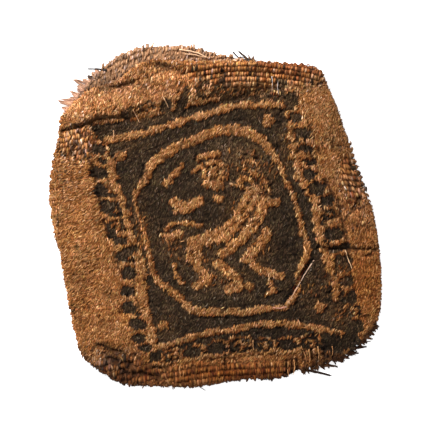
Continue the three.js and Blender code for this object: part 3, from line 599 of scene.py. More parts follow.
def rim_distance(x, y, outlines):
    nearest = np.full(x.shape, np.inf)
    for outline in outlines:
        for start, end in closed_sides(outline):
            nearest = np.minimum(nearest, stretch_distance(x, y, *start, *end)[0])
    return nearest


def run_along(places):
    """How far along a path each of its places is."""
    steps = np.linalg.norm(np.diff(places, axis=0), axis=1)
    return np.concatenate([[0], np.cumsum(steps)])


def places_at(stops, run, places):
    """Places at some stops on a path, where run says how far along it its own places are."""
    return np.stack([np.interp(stops, run, column) for column in np.transpose(places)], axis=1)


def even_points(path, step):
    run = run_along(path)
    count = max(2, round(run[-1] / step))
    return places_at(np.linspace(0, run[-1], count + 1), run, path)


def bell(x, y, cx, cy, rx, ry):
    return np.exp(-(((x - cx) / rx) ** 2) - ((y - cy) / ry) ** 2)


def ripple(x, y, size, turn):
    """Smooth unevenness from -1 to 1, with features of about this size in millimetres."""
    k = 2 * math.pi / size
    first = np.sin(k * (0.83 * x + 0.55 * y) + turn) * np.sin(k * (-0.47 * x + 0.9 * y) + 2.1 * turn)
    second = np.sin(k * 1.73 * (0.31 * x - 0.95 * y) + 3.3 * turn)
    third = np.sin(k * 2.41 * (0.97 * x + 0.22 * y) + 1.3 * turn + first)
    return 0.5 * first + 0.28 * second + 0.22 * third


def weights_on_thread(share):
    """How much each of six evenly numbered places counts at a share of the thread through them."""
    place = np.clip(np.asarray(share, float), 0, 1) * 5
    first = np.minimum(place.astype(int), 4)
    w = place - first
    basis = [
        0.5 * (-(w**3) + 2 * w**2 - w),
        0.5 * (3 * w**3 - 5 * w**2 + 2),
        0.5 * (-3 * w**3 + 4 * w**2 + w),
        0.5 * (w**3 - w**2),
    ]
    weights = np.zeros((len(w), 8))
    rows = np.arange(len(w))
    for step, value in enumerate(basis):
        weights[rows, first + step] += value
    weights[:, 1] += 2 * weights[:, 0]
    weights[:, 2] -= weights[:, 0]
    weights[:, 6] += 2 * weights[:, 7]
    weights[:, 5] -= weights[:, 7]
    return weights[:, 1:7]


def weave_places(across, down):
    """Places on the cloth for shares across and down the weave."""
    return np.einsum("ni,nj,ijk->nk", weights_on_thread(down), weights_on_thread(across), WEAVE)


def share_down(x, y):
    """The share down the weave at each place, found by steps from a first guess."""
    across = np.clip(0.5 + x / WEAVE_SPAN[0], *ACROSS)
    down = np.clip(0.5 - y / WEAVE_SPAN[1], *ACROSS)
    nudge = 1e-3
    for _ in range(7):
        here = weave_places(across, down)
        by_across = (weave_places(across + nudge, down) - here) / nudge
        by_down = (weave_places(across, down + nudge) - here) / nudge
        miss = np.stack([x, y], axis=1) - here
        det = by_across[:, 0] * by_down[:, 1] - by_across[:, 1] * by_down[:, 0]
        across += (miss[:, 0] * by_down[:, 1] - miss[:, 1] * by_down[:, 0]) / det
        down += (by_across[:, 0] * miss[:, 1] - by_across[:, 1] * miss[:, 0]) / det
        across, down = np.clip(across, 0, 0.999), np.clip(down, 0, 0.998)
    return down


def rib_wave(x, y):
    """From 1 on the crest of a rib to -1 in a groove. Crests are evenly numbered down the weave."""
    turn = (share_down(x, y) - REACH[0]) / (REACH[1] - REACH[0]) * RIBS
    return np.cos(2 * np.pi * turn)


def edge_points(places, step):
    """Evenly spaced points on the smooth curve that the part draws through a side's places."""
    places = np.array(places, float)
    ends = np.vstack([2 * places[0] - places[1], places, 2 * places[-1] - places[-2]])
    gaps = np.sqrt(np.linalg.norm(np.diff(ends, axis=0), axis=1))
    s = np.linspace(0, 1, 40, endpoint=False)[:, None]
    stretches = []
    for index in range(len(places) - 1):
        p0, p1, p2, p3 = ends[index : index + 4]
        g0, g1, g2 = gaps[index : index + 3]
        leave = ((p1 - p0) / g0 - (p2 - p0) / (g0 + g1) + (p2 - p1) / g1) * g1
        arrive = ((p2 - p1) / g1 - (p3 - p1) / (g1 + g2) + (p3 - p2) / g2) * g1
        stretches.append(
            (2 * s**3 - 3 * s**2 + 1) * p1
            + (s**3 - 2 * s**2 + s) * leave
            + (3 * s**2 - 2 * s**3) * p2
            + (s**3 - s**2) * arrive
        )
    return even_points(np.vstack([*stretches, places[-1:]]), step)


def outward(points):
    """Unit directions out of a clockwise edge at each of its points."""
    along = np.gradient(points, axis=0)
    along /= np.linalg.norm(along, axis=1)[:, None]
    return np.stack([-along[:, 1], along[:, 0]], axis=1)


def turned(ways, angles):
    """Unit directions turned clockwise by angles in radians, and the directions to their right."""
    cos, sin = np.cos(angles), np.sin(angles)
    x, y = np.transpose(ways)
    way = np.stack([x * cos + y * sin, y * cos - x * sin], axis=1)
    return way, np.stack([way[:, 1], -way[:, 0]], axis=1)


def tear(x, y):
    """The uneven bite of a torn edge: the part's own, with finer bites on it."""
    coarse = 0.14 * np.sin(2.9 * x + 1.7 * y) + 0.1 * np.sin(5.3 * y - 4.1 * x + 2)
    return coarse + 0.16 * ripple(x, y, 1.3, 0.7) + 0.12 * ripple(x, y, 3.7, 2.9)


def tooth_depth(y):
    turn = np.mod(y / RIB_PITCH, 1)
    depth = TEETH["depth"] * (np.abs(turn - 0.5) * 4 - 1)
    return np.where((y < TEETH["low"]) | (y > TEETH["high"]), 0, depth)


def torn_side(places, step):
    points = edge_points(places, step)
    x, y = points.T
    depth = 0.5 * tear(x, y) + tooth_depth(y) if places is RIGHT_EDGE else tear(x, y)
    depth[[0, -1]] = 0
    return (points + outward(points) * depth[:, None])[:-1]


def torn_outline(sides):
    return np.vstack([torn_side(places, step) for places, step in sides])


def slit_outline():
    start, end = np.array(SLIT["start"]), np.array(SLIT["end"])
    side = (end - start) / np.linalg.norm(end - start)
    across = np.array([-side[1], side[0]])
    banks = []
    for sign in (1, -1):
        t = np.linspace(0, 1, 25)[:-1]
        t = t if sign > 0 else 1 - t
        shift = np.sin(np.pi * t) * (SLIT["bow"] + sign * SLIT["width"] / 2)
        shift += 0.06 * np.sin(np.pi * t) * np.sin(31 * t + sign)
        banks.append(start + np.outer(t, end - start) + np.outer(shift, across))
    return np.vstack(banks)


def nicks(outline):
    """Short dark gaps between wefts, scattered over the cloth and lying with its wefts."""
    rng = np.random.default_rng(SEED + 7)
    found = []
    while len(found) < NICKS["count"]:
        x, y = rng.uniform(-43, 43, 2)
        if not inside(np.array([x]), np.array([y]), outline)[0]:
            continue
        turn = math.radians(rng.choice(NICKS["turns"]) + rng.normal(0, 14))
        half = rng.uniform(*NICKS["half_lengths"])
        dx, dy = half * math.cos(turn), half * math.sin(turn)
        bend = rng.normal(0, 0.25) * half
        middle = (x - dy * bend, y + dx * bend)
        found.append((rng.uniform(*NICKS["half_widths"]), [(x - dx, y - dy), middle, (x + dx, y + dy)]))
    return found


FACE = torn_outline([
    (side, 0.36) for side in (TOP_EDGE, RIGHT_EDGE, LOWER_RIGHT_EDGE, BOTTOM_EDGE, LEFT_EDGE)
])
BACKING = torn_outline([
    (BACKING_FRAYED_EDGE, 0.4), (BACKING_OUTER_EDGE, 0.4), (BACKING_HIDDEN_EDGE, 0.8),
])
OPENING = slit_outline()
GAPS = CREVICES + nicks(FACE)


def zone_height(x, y, rows):
    return sum(rise * bell(x, y, *place) for rise, *place in rows)


def factors(x, y, rows):
    """The product of every row's factor, where each fades out over its radii."""
    product = np.ones((len(x), 1))
    for strength, *place in rows:
        product = product * (1 + bell(x, y, *place)[:, None] * (np.array(strength) - 1))
    return product


def lay_of(x, y):
    """Lean, width, height and felting of the face's wefts at each place."""
    lay = np.tile(np.array(PLAIN_LAY, float), (len(x), 1))
    for cx, cy, rx, ry, *values in LAYS:
        share = smoothstep(bell(x, y, cx, cy, rx, ry), 0.25, 0.6)[:, None]
        lay += share * (np.array(values, float) - lay)
    return lay.T


def pale_lay(x, _):
    return np.tile(np.array(PALE_LAY, float), (len(x), 1)).T


def lift_height(x, y):
    """Underside of the face, which is lifted along its upper edge."""
    nearest, _ = path_distance(x, y, TOP_EDGE[:8])
    low = LIFT["half_width"]
    return LIFT["height"] * (1 - smoothstep(nearest, low, low + LIFT["fade"]))


def fold_height(x, y):
    height = np.zeros_like(x)
    for rise, half_width, *ends in FOLDS:
        across = stretch_distance(x, y, *ends)[0] / half_width
        height += rise * np.exp(-across * across)
    return height


def flap_height(x, y):
    height = np.zeros_like(x)
    for rise, x1, y1, x2, y2, depth in FLAPS:
        length = math.hypot(x2 - x1, y2 - y1)
        ux, uy = (x2 - x1) / length, (y2 - y1) / length
        s = (x - x1) * ux + (y - y1) * uy
        above = (y - y1) * ux - (x - x1) * uy
        shape = smoothstep(above, 0, FLAP_FADE) * (1 - smoothstep(above, FLAP_FADE, depth))
        height += np.where((s < 0) | (s > length), 0, rise * shape)
    return height


def form_height(x, y):
    """Top of the face without its ribs."""
    slow = 0.12 * np.sin(0.21 * x + 0.13 * y + 1) + 0.1 * np.sin(0.17 * y - 0.29 * x)
    fine = 0.12 * ripple(x, y, 7, 1.1) + 0.09 * ripple(x, y, 2.6, 4.2)
    form = fold_height(x, y) + flap_height(x, y) + zone_height(x, y, SWELLS)
    return CLOTH_THICK + lift_height(x, y) + slow + fine + form


def rib_height(x, y):
    """Height of the ribs, whose grooves are partly filled by felt."""
    height = RIB_HEIGHT + zone_height(x, y, RIB_ZONES)
    return height * (1 - 0.6 * lay_of(x, y)[3]) * rib_wave(x, y)


def crevice_depth(x, y, widen=1):
    """From 0 on plain cloth to 1 in the middle of an open crevice; widened, it also covers the crevice's
    sides, where painted shade darkens the wool.
    """
    wx = x + 0.3 * ripple(x, y, 3.6, 1.9)
    wy = y + 0.3 * ripple(x, y, 2.9, 3.3)
    depth = np.zeros_like(x)
    for half_width, path in GAPS:
        width = widen * half_width * (1 + 0.6 * ripple(x, y, 2.2, 5.3))
        nearest, _ = path_distance(wx, wy, path)
        depth = np.maximum(depth, 1 - smoothstep(nearest, 0.4 * width, 1.6 * width))
    return depth


def cloth_top(x, y):
    return form_height(x, y) + rib_height(x, y) - CREVICE_DEPTH * crevice_depth(x, y)


def face_top(x, y):
    return cloth_top(x, y) + LIGHT_RISE * (motif(x, y) == 2)


def backing_top(x, y):
    return BACKING_THICK + 0.1 * np.sin(0.5 * x) + 0.12 * rib_wave(x, y)


def table_level(x, _):
    return np.zeros_like(x)


def unit_zones(x, y, cx, cy, half_x, half_y, turn, marks):
    """Where one border unit is dark, and where its arch and curl are light."""
    cos, sin = math.cos(math.radians(turn)), math.sin(math.radians(turn))
    u = ((x - cx) * cos + (y - cy) * sin) / half_x
    v = ((y - cy) * cos - (x - cx) * sin) / half_y
    r = (np.abs(u) ** 2.5 + np.abs(v) ** 2.5) ** 0.4 / UNIT_SIZE
    arch = (np.abs(r - 1.16) < 0.13) & (v > -0.2) & (marks > 0)
    curl = (np.abs(r - 0.42) < 0.15) & ((u > 0) | (v > 0.1)) & (marks > 1)
    return r < 1, arch | curl


def motif(x, y):
    """0 in the margins, 1 on dark wool and 2 on light wool of the woven square."""
    wx = x + 0.42 * ripple(x, y, 3.2, 2.2) + 0.18 * ripple(x, y, 1.3, 5.2)
    wy = y + 0.4 + 0.42 * ripple(x, y, 2.9, 6.4) + 0.18 * ripple(x, y, 1.4, 0.9)
    zone = np.where(inside(wx, wy, SQUARE), 2, 0)
    zone = np.where(inside(wx, wy, GROUND), 1, zone)
    for half_width, swell, length, path in LINES:
        distance, along = path_distance(wx, wy, path)
        width = half_width + swell * np.sin(2 * np.pi * along / length)
        zone = np.where(distance < width, 2, zone)
    for unit in UNITS:
        dark, light = unit_zones(wx, wy, *unit)
        zone = np.where(dark, 1, zone)
        zone = np.where(light & (zone == 1), 2, zone)
    ring = [place[:2] for place in RING]
    distance, along = path_distance(wx, wy, ring)
    width = np.interp(along, run_along(ring), [place[2] for place in RING])
    zone = np.where(distance < width, 2, zone)
    for wool, strokes in ((2, STROKES), (1, DARK_STROKES)):
        for half_width, path in strokes:
            zone = np.where(path_distance(wx, wy, path)[0] < half_width, wool, zone)
    return zone


def worn_motif(x, y, chance):
    """The motif with its mottled places, where chance is from 0 to 1 for each thread.

    Also how much of the light wool shows through each dark thread."""
    zone = motif(x, y)
    through = np.zeros_like(x)
    for share, *place in MOTTLES:
        strength = share * bell(x, y, *place)
        through = np.maximum(through, 0.7 * strength * (1 - chance))
        zone = np.where((zone == 1) & (chance < 0.7 * strength), 2, zone)
        zone = np.where((zone == 2) & (chance > 1 - 0.5 * strength), 1, zone)
    return zone, np.where(zone == 1, through, 0)


# Colour factors of the tone patches, times painted shade beside the torn edges that lie away from the
# lamp.
def patches_and_edge_shade(x, y):
    factor = factors(x, y, TONE_PATCHES)
    for dimming, reach, edge in SHADED_EDGES:
        nearest = path_distance(x, y, edge)[0] + 0.3 * ripple(x, y, 3, 0.8)
        factor *= 1 - (1 - dimming) * np.exp(-((nearest / reach) ** 2))[:, None]
    return factor


def toned(factor, tone):
    """Factors for red, green and blue from one factor of brightness."""
    return factor[..., None] ** np.array(tone)


def painted_step_shade(x, y, zone):
    """Painted light and shade at the step between thick light wool and thin dark wool: the light wool
    lighter on its upper left edge, darker on its lower right edge, and a painted shadow on the dark wool
    below and right of it.
    """
    lower = motif(x + 0.35, y - 0.3)
    upper = motif(x - 0.35, y + 0.3)
    tone = np.ones_like(x)
    tone[(zone != 1) & (upper == 1)] = 1.2
    tone[(zone != 1) & (lower == 1)] = 0.6
    tone[(zone == 1) & (upper != 1)] = 0.6
    return tone


def mixed_wools(x, y, zone, colour, rng):
    """Colours with brown, dark and pale threads mixed into some places of the margins."""
    share = np.zeros_like(x)
    for strength, *place in MIXED:
        share = np.maximum(share, strength * bell(x, y, *place))
    pick = rng.random(len(x))
    swapped = (zone == 0) & (rng.random(len(x)) < share)
    for low, high, wool in MIXED_YARNS:
        colour[swapped & (pick >= low) & (pick < high)] = linear(wool)
    return colour


def thread_shades(x, y, zone, rng):
    """How light or dark each thread is: slow changes over the cloth, painted light and shade beside the
    steps of light wool, and its own luck.
    """
    slow = 1 + 0.12 * ripple(x, y, 11, 0.4) + 0.14 * ripple(x, y, 4.3, 3.7)
    slow = (slow + 0.12 * ripple(y, x, 2.3, 2.4)) * painted_step_shade(x, y, zone)
    spread = np.where(zone == 1, 0.68, 0.3)
    single = np.clip(np.exp(spread * rng.normal(-0.1, 1, len(x))), 0.25, 2.3)
    single *= np.where(rng.random(len(x)) < 0.07, 0.42, 1) * slow
    return np.where((zone == 1)[:, None], toned(single, DARK_TONE), toned(single, TAN_TONE))


def wool_colours(x, y, rng):
    """Linear colour of each place on each thread, and the zone of each thread.

    x and y hold a row for each thread."""
    count, stations = x.shape
    mx, my = x.mean(axis=1), y.mean(axis=1)
    clump = 0.5 + 0.4 * ripple(mx, my, 2.3, 4.4) + 0.3 * ripple(my, mx, 1.5, 1.2)
    zone, through = worn_motif(mx, my, np.clip(0.5 * clump + 0.5 * rng.random(count), 0, 1))
    colour = np.array([linear(wool) for wool in (MARGIN_WOOL, DARK_WOOL, LIGHT_WOOL)])[zone]
    colour = colour * (1 - through[:, None]) + linear(LIGHT_WOOL) * through[:, None]
    colour[(rng.random(count) < 0.05) & (zone == 1)] = linear(GREYED_WOOL)
    colour = mixed_wools(mx, my, zone, colour, rng)
    factor = patches_and_edge_shade(mx, my)
    factor[zone == 1] = factor[zone == 1] ** 0.35 * factors(mx, my, FADED)[zone == 1]
    factor[zone == 2] = factor[zone == 2] ** 0.6
    colour = colour * factor * thread_shades(mx, my, zone, rng)
    # Painted shade darkens the wool beside the open crevices and gaps.
    colour = colour * (1 - 0.55 * crevice_depth(mx, my, 2.2))[:, None]
    hue = ripple(mx, my, 13, 5.1)
    colour[:, 1] *= 1 + 0.04 * hue
    colour[:, 2] *= 1 + 0.14 * hue
    colour *= np.exp(rng.normal(0, 0.06, (count, 3)))
    colour[:, 2] = np.minimum(colour[:, 2], MOST_BLUE * colour[:, 1])
    return colour[:, None] * np.ones((1, stations, 1)), zone


def pale_colours(x, y, rng):
    """Linear colours of the threads of the pale layer: pinkish tan with brown and grey yarns."""
    count, stations = x.shape
    colour = np.tile(linear(PALE_WOOL), (count, stations, 1))
    pick = rng.random(count)
    for low, high, wool in PALE_YARNS:
        colour[(pick > low) & (pick < high)] = linear(wool)
    slow = (1 + 0.16 * ripple(x, y, 5, 3.1)) * (1 - 0.42 * bell(x, y, -31, 35, 8, 6))
    single = np.clip(np.exp(rng.normal(0, 0.18, (count, 1))), 0.5, 1.7)
    return colour * (slow * single)[..., None], np.zeros(count)


def face_tints(x, y, is_top):
    """Colours of the face's sheet, darkened on top with dark brown painted shade, where it shows in the
    gaps between its wefts.
    """
    rng = np.random.default_rng(SEED + 3)
    colour = wool_colours(x[:, None], y[:, None], rng)[0][:, 0]
    return 0.4 * colour + 0.15 * linear(GAP_SHADE) if is_top else 0.8 * colour


def pale_tints(x, _, is_top):
    rng = np.random.default_rng(SEED + 4)
    colour = linear(PALE_WOOL) * rng.normal(1, 0.12, (len(x), 1))
    # The top is darkened as painted shade, where it shows in the gaps between wefts.
    return colour * (0.5 if is_top else 0.8)


def quads(stations, across, wrap):
    """Faces of one loft, as corner numbers. A wrapped loft is a closed tube of four sides."""
    faces = []
    last = across if wrap else across - 1
    for station in range(stations - 1):
        for point in range(last):
            a = station * across + point
            b = station * across + (point + 1) % across
            faces.append((a, b, b + across, a + across))
    if wrap:
        top = (stations - 1) * across
        faces.append((3, 2, 1, 0))
        faces.append((top, top + 1, top + 2, top + 3))
    return np.array(faces)


def add_object(name, data, place=(0, 0, 0)):
    thing = bpy.data.objects.new(name, data)
    thing.location = place
    bpy.context.scene.collection.objects.link(thing)
    return thing


def wool_object(name, verts, faces, tint, lay, layer, *nodes):
    """A piece of a layer from places in millimetres, with its colours and the lay of its threads."""
    corners = faces.shape[1]
    mesh = bpy.data.meshes.new(name)
    mesh.vertices.add(len(verts))
    mesh.vertices.foreach_set("co", (verts * MM).astype(np.float32).ravel())
    mesh.loops.add(faces.size)
    mesh.loops.foreach_set("vertex_index", faces.astype(np.int32).ravel())
    mesh.polygons.add(len(faces))
    mesh.polygons.foreach_set("loop_start", np.arange(0, faces.size, corners, dtype=np.int32))
    mesh.polygons.foreach_set("use_smooth", np.ones(len(faces), bool))
    mesh.update(calc_edges=True)
    colours = mesh.color_attributes.new("tint", "FLOAT_COLOR", "POINT")
    colours.data.foreach_set("color", np.c_[tint, np.ones(len(verts))].astype(np.float32).ravel())
    lays = mesh.attributes.new("lay", "FLOAT_VECTOR", "POINT")
    lays.data.foreach_set("vector", lay.astype(np.float32).ravel())
    mesh.materials.append(layer.material)
    piece = add_object(name, mesh)
    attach(piece, "root")
    if nodes:
        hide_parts(*nodes)
    return piece


def loft_object(name, grid, colour, shade, layer, *nodes, wrap=False, tone=TAN_TONE):
    """Many lofts as one piece. grid is (lofts, stations, points across, 3)."""
    lofts, stations, across, _ = grid.shape
    first = np.arange(lofts)[:, None, None] * stations * across
    faces = (quads(stations, across, wrap)[None] + first).reshape(-1, 4)
    tint = np.broadcast_to(colour[:, :, None, :] * toned(shade, tone), grid.shape).reshape(-1, 3)
    lay = np.empty(grid.shape)
    lay[..., 0] = np.linspace(-1, 1, across)
    lay[..., 1] = np.linspace(0, 1, stations)[:, None]
    lay[..., 2] = (np.arange(lofts) * LOFT_STEP % 1)[:, None, None]
    return wool_object(name, grid.reshape(-1, 3), faces, tint, lay.reshape(-1, 3), layer, *nodes)


def tube_object(name, paths, radii, colour, layer, *nodes):
    """Closed four-sided tubes round paths of (tubes, stations, 3), as one piece."""
    along = np.gradient(paths, axis=1)
    along /= np.linalg.norm(along, axis=2)[..., None] + 1e-9
    side = np.cross(along, np.array([0.0, 0.0, 1.0]))
    side /= np.linalg.norm(side, axis=2)[..., None] + 1e-9
    above = np.cross(side, along)
    grid = np.empty((*paths.shape[:2], 4, 3))
    for point, (a, b) in enumerate(((-1, 0), (0, 1), (1, 0), (0, -1))):
        grid[:, :, point] = paths + radii[..., None] * (a * side + b * above)
    # TUBE_SHADE paints light on top of each tube and shade underneath.
    return loft_object(name, grid, colour, TUBE_SHADE, layer, *nodes, wrap=True)


def ribbon_grid(here, directions, station, length, bend, half):
    """Bent ribbons as lofts with three points across, still without heights."""
    way, side = directions
    middle = here[:, None] + (station * length[:, None])[..., None] * way[:, None]
    curve = bend[:, None] * (1 - 4 * station**2)
    middle += curve[..., None] * side[:, None]
    grid = np.zeros((*half.shape, 3, 3))
    for point, offset in enumerate((-1, 0, 1)):
        grid[:, :, point, :2] = middle + (offset * half)[..., None] * side[:, None]
    return grid


def middle_line(grid):
    """Places along the middle of each loft, as x and y."""
    return grid[:, :, 1, 0], grid[:, :, 1, 1]


def height_under(grid, height_at):
    x, y = middle_line(grid)
    return height_at(x.ravel(), y.ravel()).reshape(x.shape)


def weft_places(layer, keep, rows):
    """Where the wefts cross each row: place, the way up, and the pitch of the rows."""
    across, nudge = np.linspace(*ACROSS, 1400), 0.002
    found = []
    for row in range(rows + 1):
        down = REACH[0] + (REACH[1] - REACH[0]) * row / rows
        places = weave_places(across, np.full(len(across), down))
        width = layer.lay_at(*places.T)[1]
        steps = np.linalg.norm(np.diff(places, axis=0), axis=1) / width[1:]
        run = np.concatenate([[0], np.cumsum(steps)])
        at = np.interp(np.arange(0.5 * (row % 2), run[-1], 1), run, across)
        found.append(np.stack([at, np.full(len(at), down)], axis=1))
    at, down = np.vstack(found).T
    here = weave_places(at, down)
    up = weave_places(at, down - nudge) - weave_places(at, down + nudge)
    pitch = np.linalg.norm(up, axis=1) / (2 * nudge) * (REACH[1] - REACH[0]) / rows
    up /= np.linalg.norm(up, axis=1)[:, None]
    chosen = inside(*here.T, layer.outline) & keep(*here.T)
    return here[chosen], up[chosen], pitch[chosen]


def weft_grid(layer, here, up, pitch, shape, rng):
    """Humped wefts as lofts with three points across, open underneath."""
    station, arch, taper, _ = np.array(shape).T
    count = len(here)
    lean, width, height, felted = layer.lay_at(*here.T)
    here = here + up * (felted * pitch * rng.uniform(-0.5, 0.5, count))[:, None]
    turn = np.radians(lean + rng.normal(0, 1, count) * (5 + 15 * felted))
    length = pitch * rng.uniform(0.9, 1.35, count) * (1 + 0.4 * felted)
    broad = width * np.maximum(np.cos(turn), 0.8) * rng.uniform(0.8, 1.3, count)
    tall = height * rng.uniform(0.45, 1.4, count)
    bend = rng.normal(0, 0.08, count) * length
    here = here + rng.normal(0, 0.05, (count, 2))
    half = 0.5 * broad[:, None] * taper
    grid = ribbon_grid(here, turned(up, turn), station, length, bend, half)
    base = height_under(grid, layer.ground_at)
    crest = tall[:, None] * arch
    tilt = rng.normal(0, 0.15, count)[:, None] * crest
    grid[:, :, 1, 2] = base + crest
    grid[:, :, 0, 2] = base - 0.1 + 0.25 * crest + tilt
    grid[:, :, 2, 2] = base - 0.1 + 0.25 * crest - tilt
    grid[..., 2] = np.maximum(grid[..., 2], 0.02)
    return grid


def coloured_wefts(layer, keep, rows, shape, rng):
    """The lofts, colours and zones of a layer's wefts of one shape."""
    grid = weft_grid(layer, *weft_places(layer, keep, rows), shape, rng)
    return grid, *layer.colours_at(*middle_line(grid), rng)


def weft_shade(shape):
    """Painted shade on a weft: darker towards its ends and its sides, lightest on its crest."""
    return np.array(shape)[None, :, 3:] * np.array([0.66, 1.12, 0.66])


def inner_points(outline, rows, step):
    """Points of the weave inside an outline, on lines that follow the ribs."""
    columns = int(WEAVE_SPAN[0] / step)
    across, down = np.meshgrid(np.linspace(*ACROSS, columns), np.linspace(*REACH, rows))
    across = across + (np.arange(rows) % 2)[:, None] * 0.48 / columns
    places = weave_places(across.ravel(), down.ravel())
    return places[inside(*places.T, outline)]


def layer_surface(layer, rows, step, offsets):
    """Triangulated cloth seen from above: points, triangles, and how many points are the rim.

    Points of the weave are joined with points at some offsets from the rim."""
    rims = [layer.outline, *layer.holes]
    free = [inner_points(layer.outline, rows, step)]
    for offset in offsets:
        for ring in rims:
            sign = -1 if ring is layer.outline else 1
            free.append(ring + sign * outward(ring) * offset)
    free = np.vstack(free)
    clear = rim_distance(*free.T, rims) > 0.8 * min(offsets)
    free = free[clear & on_cloth(*free.T, layer.outline, layer.holes)]
    edges = []
    first = 0
    for ring in rims:
        count = len(ring)
        edges += [(first + i, first + (i + 1) % count) for i in range(count)]
        first += count
    points = [Vector(place) for place in np.vstack([*rims, free]).tolist()]
    made = delaunay_2d_cdt(points, edges, [], 1, 1e-6, False)
    places = np.array([tuple(place) for place in made[0]])
    triangles = np.array(made[2])
    centres = places[triangles].mean(axis=1).T
    return places, triangles[on_cloth(*centres, layer.outline, layer.holes)], first


def rim_swell(x, y, layer, reach):
    """From 0 on the rim to 1 at some reach from it, rounded like a quarter of a circle."""
    edge = rim_distance(x, y, [layer.outline, *layer.holes])
    return np.sqrt(np.clip(1 - (1 - np.clip(edge / reach, 0, 1)) ** 2, 0, 1))


def closed_layer(name, layer, node, step):
    """A closed sheet: a woven top, a plainer underside and one rim that both share."""
    top, top_faces, rim = layer_surface(layer, 4 * RIBS + 1, step, (0.14, 0.4))
    under, under_faces, _ = layer_surface(layer, 90, 1.1, (0.2,))
    low = layer.base_at(*top.T)
    high = np.maximum(layer.top_at(*top.T), low + 0.4)
    middle = low + RIM_LEVEL * (high - low)
    z = middle + (high - middle) * rim_swell(*top.T, layer, 0.7)
    low = layer.base_at(*under.T)
    middle = low + RIM_LEVEL * (layer.top_at(*under.T) - low)
    swell = rim_swell(*under.T, layer, 0.4)
    under_z = middle + (low - middle) * swell + 0.06 * swell * (1 + rib_wave(*under.T))
    verts = np.vstack([np.c_[top, z], np.c_[under, under_z][rim:]])
    moved = np.where(under_faces < rim, under_faces, under_faces - rim + len(top))
    faces = np.vstack([top_faces, moved[:, ::-1]])
    tint = np.vstack([layer.tints_at(*top.T, True), layer.tints_at(*under[rim:].T, False)])
    lay = np.c_[verts[:, :2], np.zeros(len(verts))]
    return wool_object(name, verts, faces, tint, lay, layer, node)


def add_face_wefts(face):
    """Fine wefts in half rows, in one piece for each wool, and coarse ones in full rows."""
    rng = np.random.default_rng(SEED)

    def keep(x, y, coarse, margin):
        is_coarse = lay_of(x, y)[1] > COARSE + 0.12 * ripple(x, y, 4, 2.6)
        sound = ~inside(x, y, OPENING) & (crevice_depth(x, y) < 0.35)
        return sound & (is_coarse == coarse) & (rim_distance(x, y, [FACE]) > margin)

    keep_fine = partial(keep, coarse=False, margin=0.15)
    grid, colour, zone = coloured_wefts(face, keep_fine, 2 * RIBS, FINE_WEFT, rng)
    grid[..., 2] += LIGHT_RISE * (zone == 2)[:, None, None]
    pieces = []
    for number, (name, tone) in enumerate(FINE_PIECES):
        own = zone == number
        pieces.append(loft_object(name, grid[own], colour[own], weft_shade(FINE_WEFT), face, tone=tone))
    keep_coarse = partial(keep, coarse=True, margin=0.5)
    grid, colour, _ = coloured_wefts(face, keep_coarse, RIBS, COARSE_WEFT, rng)
    return [*pieces, loft_object("coarse_wefts", grid, colour, weft_shade(COARSE_WEFT), face)]


def add_pale_wefts(pale):
    rng = np.random.default_rng(SEED + 1)

    def keep(x, y):
        return ~inside(x, y, FACE) | (path_distance(x, y, TOP_EDGE)[0] < 1.2)

    grid, colour, _ = coloured_wefts(pale, keep, PALE_ROWS, COARSE_WEFT, rng)
    return loft_object("pale_wefts", grid, colour, weft_shade(COARSE_WEFT), pale)


def add_fuzz(name, layer, most):
    """Loose fibres felted over a layer, along the lean of its wefts."""
    rng = np.random.default_rng(SEED + 5)
    low, high = layer.outline.min(axis=0), layer.outline.max(axis=0)
    here = rng.uniform(low, high, (int(most * 1.5), 2))
    here = here[on_cloth(*here.T, layer.outline, layer.holes)][:most]
    count = len(here)
    lean, _, _, felted = layer.lay_at(*here.T)
    turn = np.radians(lean + rng.normal(0, 1, count) * (20 + 30 * felted))
    length = rng.uniform(0.4, 1.1, count)
    bend = rng.normal(0, 0.16, count) * length
    station, arch, taper = np.array(FIBRE).T
    stand = rng.uniform(0.08, 0.24, count)[:, None] * arch
    half = 0.5 * rng.uniform(0.08, 0.15, count)[:, None] * taper
    grid = ribbon_grid(here, turned((0, 1), turn), station, length, bend, half)
    grid[..., 2] = (height_under(grid, layer.top_at) + stand)[..., None]
    grid[:, :, 1, 2] += 0.08
    colour, _ = layer.colours_at(*middle_line(grid), rng)
    # Painted shade on the sides of each fibre, lighter along its middle.
    shade = np.ones((1, len(FIBRE), 1)) * np.array([0.85, 1.1, 0.85])
    return loft_object(name, grid, 1.05 * colour, shade, layer)


def add_rim(name, layer, outline, spacing, reach=0.1):
    """Short broken ends of yarn all round a torn edge, from the top over the rim."""
    rng = np.random.default_rng(SEED + 6)
    points = even_points(np.vstack([outline, outline[:1]]), spacing)[:-1]
    out = outward(points)
    count = len(points)
    points = points + rng.normal(0, 0.07, (count, 2))
    way, _ = turned(out, np.radians(rng.normal(0, 30, count)))
    reaches = rng.uniform(-0.2, reach, count) + 0.3 * (rng.random(count) < 0.03)
    shift, moves, level, shade, taper = np.array(RIM_YARN).T
    stops = shift + moves * reaches[:, None]
    inner = points - 0.6 * out
    top, low = layer.top_at(*inner.T)[:, None], layer.base_at(*points.T)[:, None]
    drop = rng.uniform(0.35, 0.9, (count, 1))
    paths = np.zeros((*stops.shape, 3))
    paths[..., :2] = points[:, None] + stops[..., None] * way[:, None]
    paths[..., 2] = np.maximum(top + level * (top - low - 0.16) * drop, low + 0.12)
    radii = rng.uniform(0.11, 0.19, (count, 1)) * taper
    colour, _ = layer.colours_at(*(inner.T[..., None] * np.ones(len(RIM_YARN))), rng)
    # Painted shade: the yarn ends grow darker where they drop over the rim.
    return tube_object(name, paths, radii, colour * shade[:, None], layer)


def trimmed(edge, trim):
    """An edge cut back at both ends, as the part's strips are."""
    places = np.array(edge, float)
    for end, beside in ((0, 1), (-1, -2)):
        back = np.array(edge[beside]) - np.array(edge[end])
        places[end] += back * trim / np.linalg.norm(back)
    return places


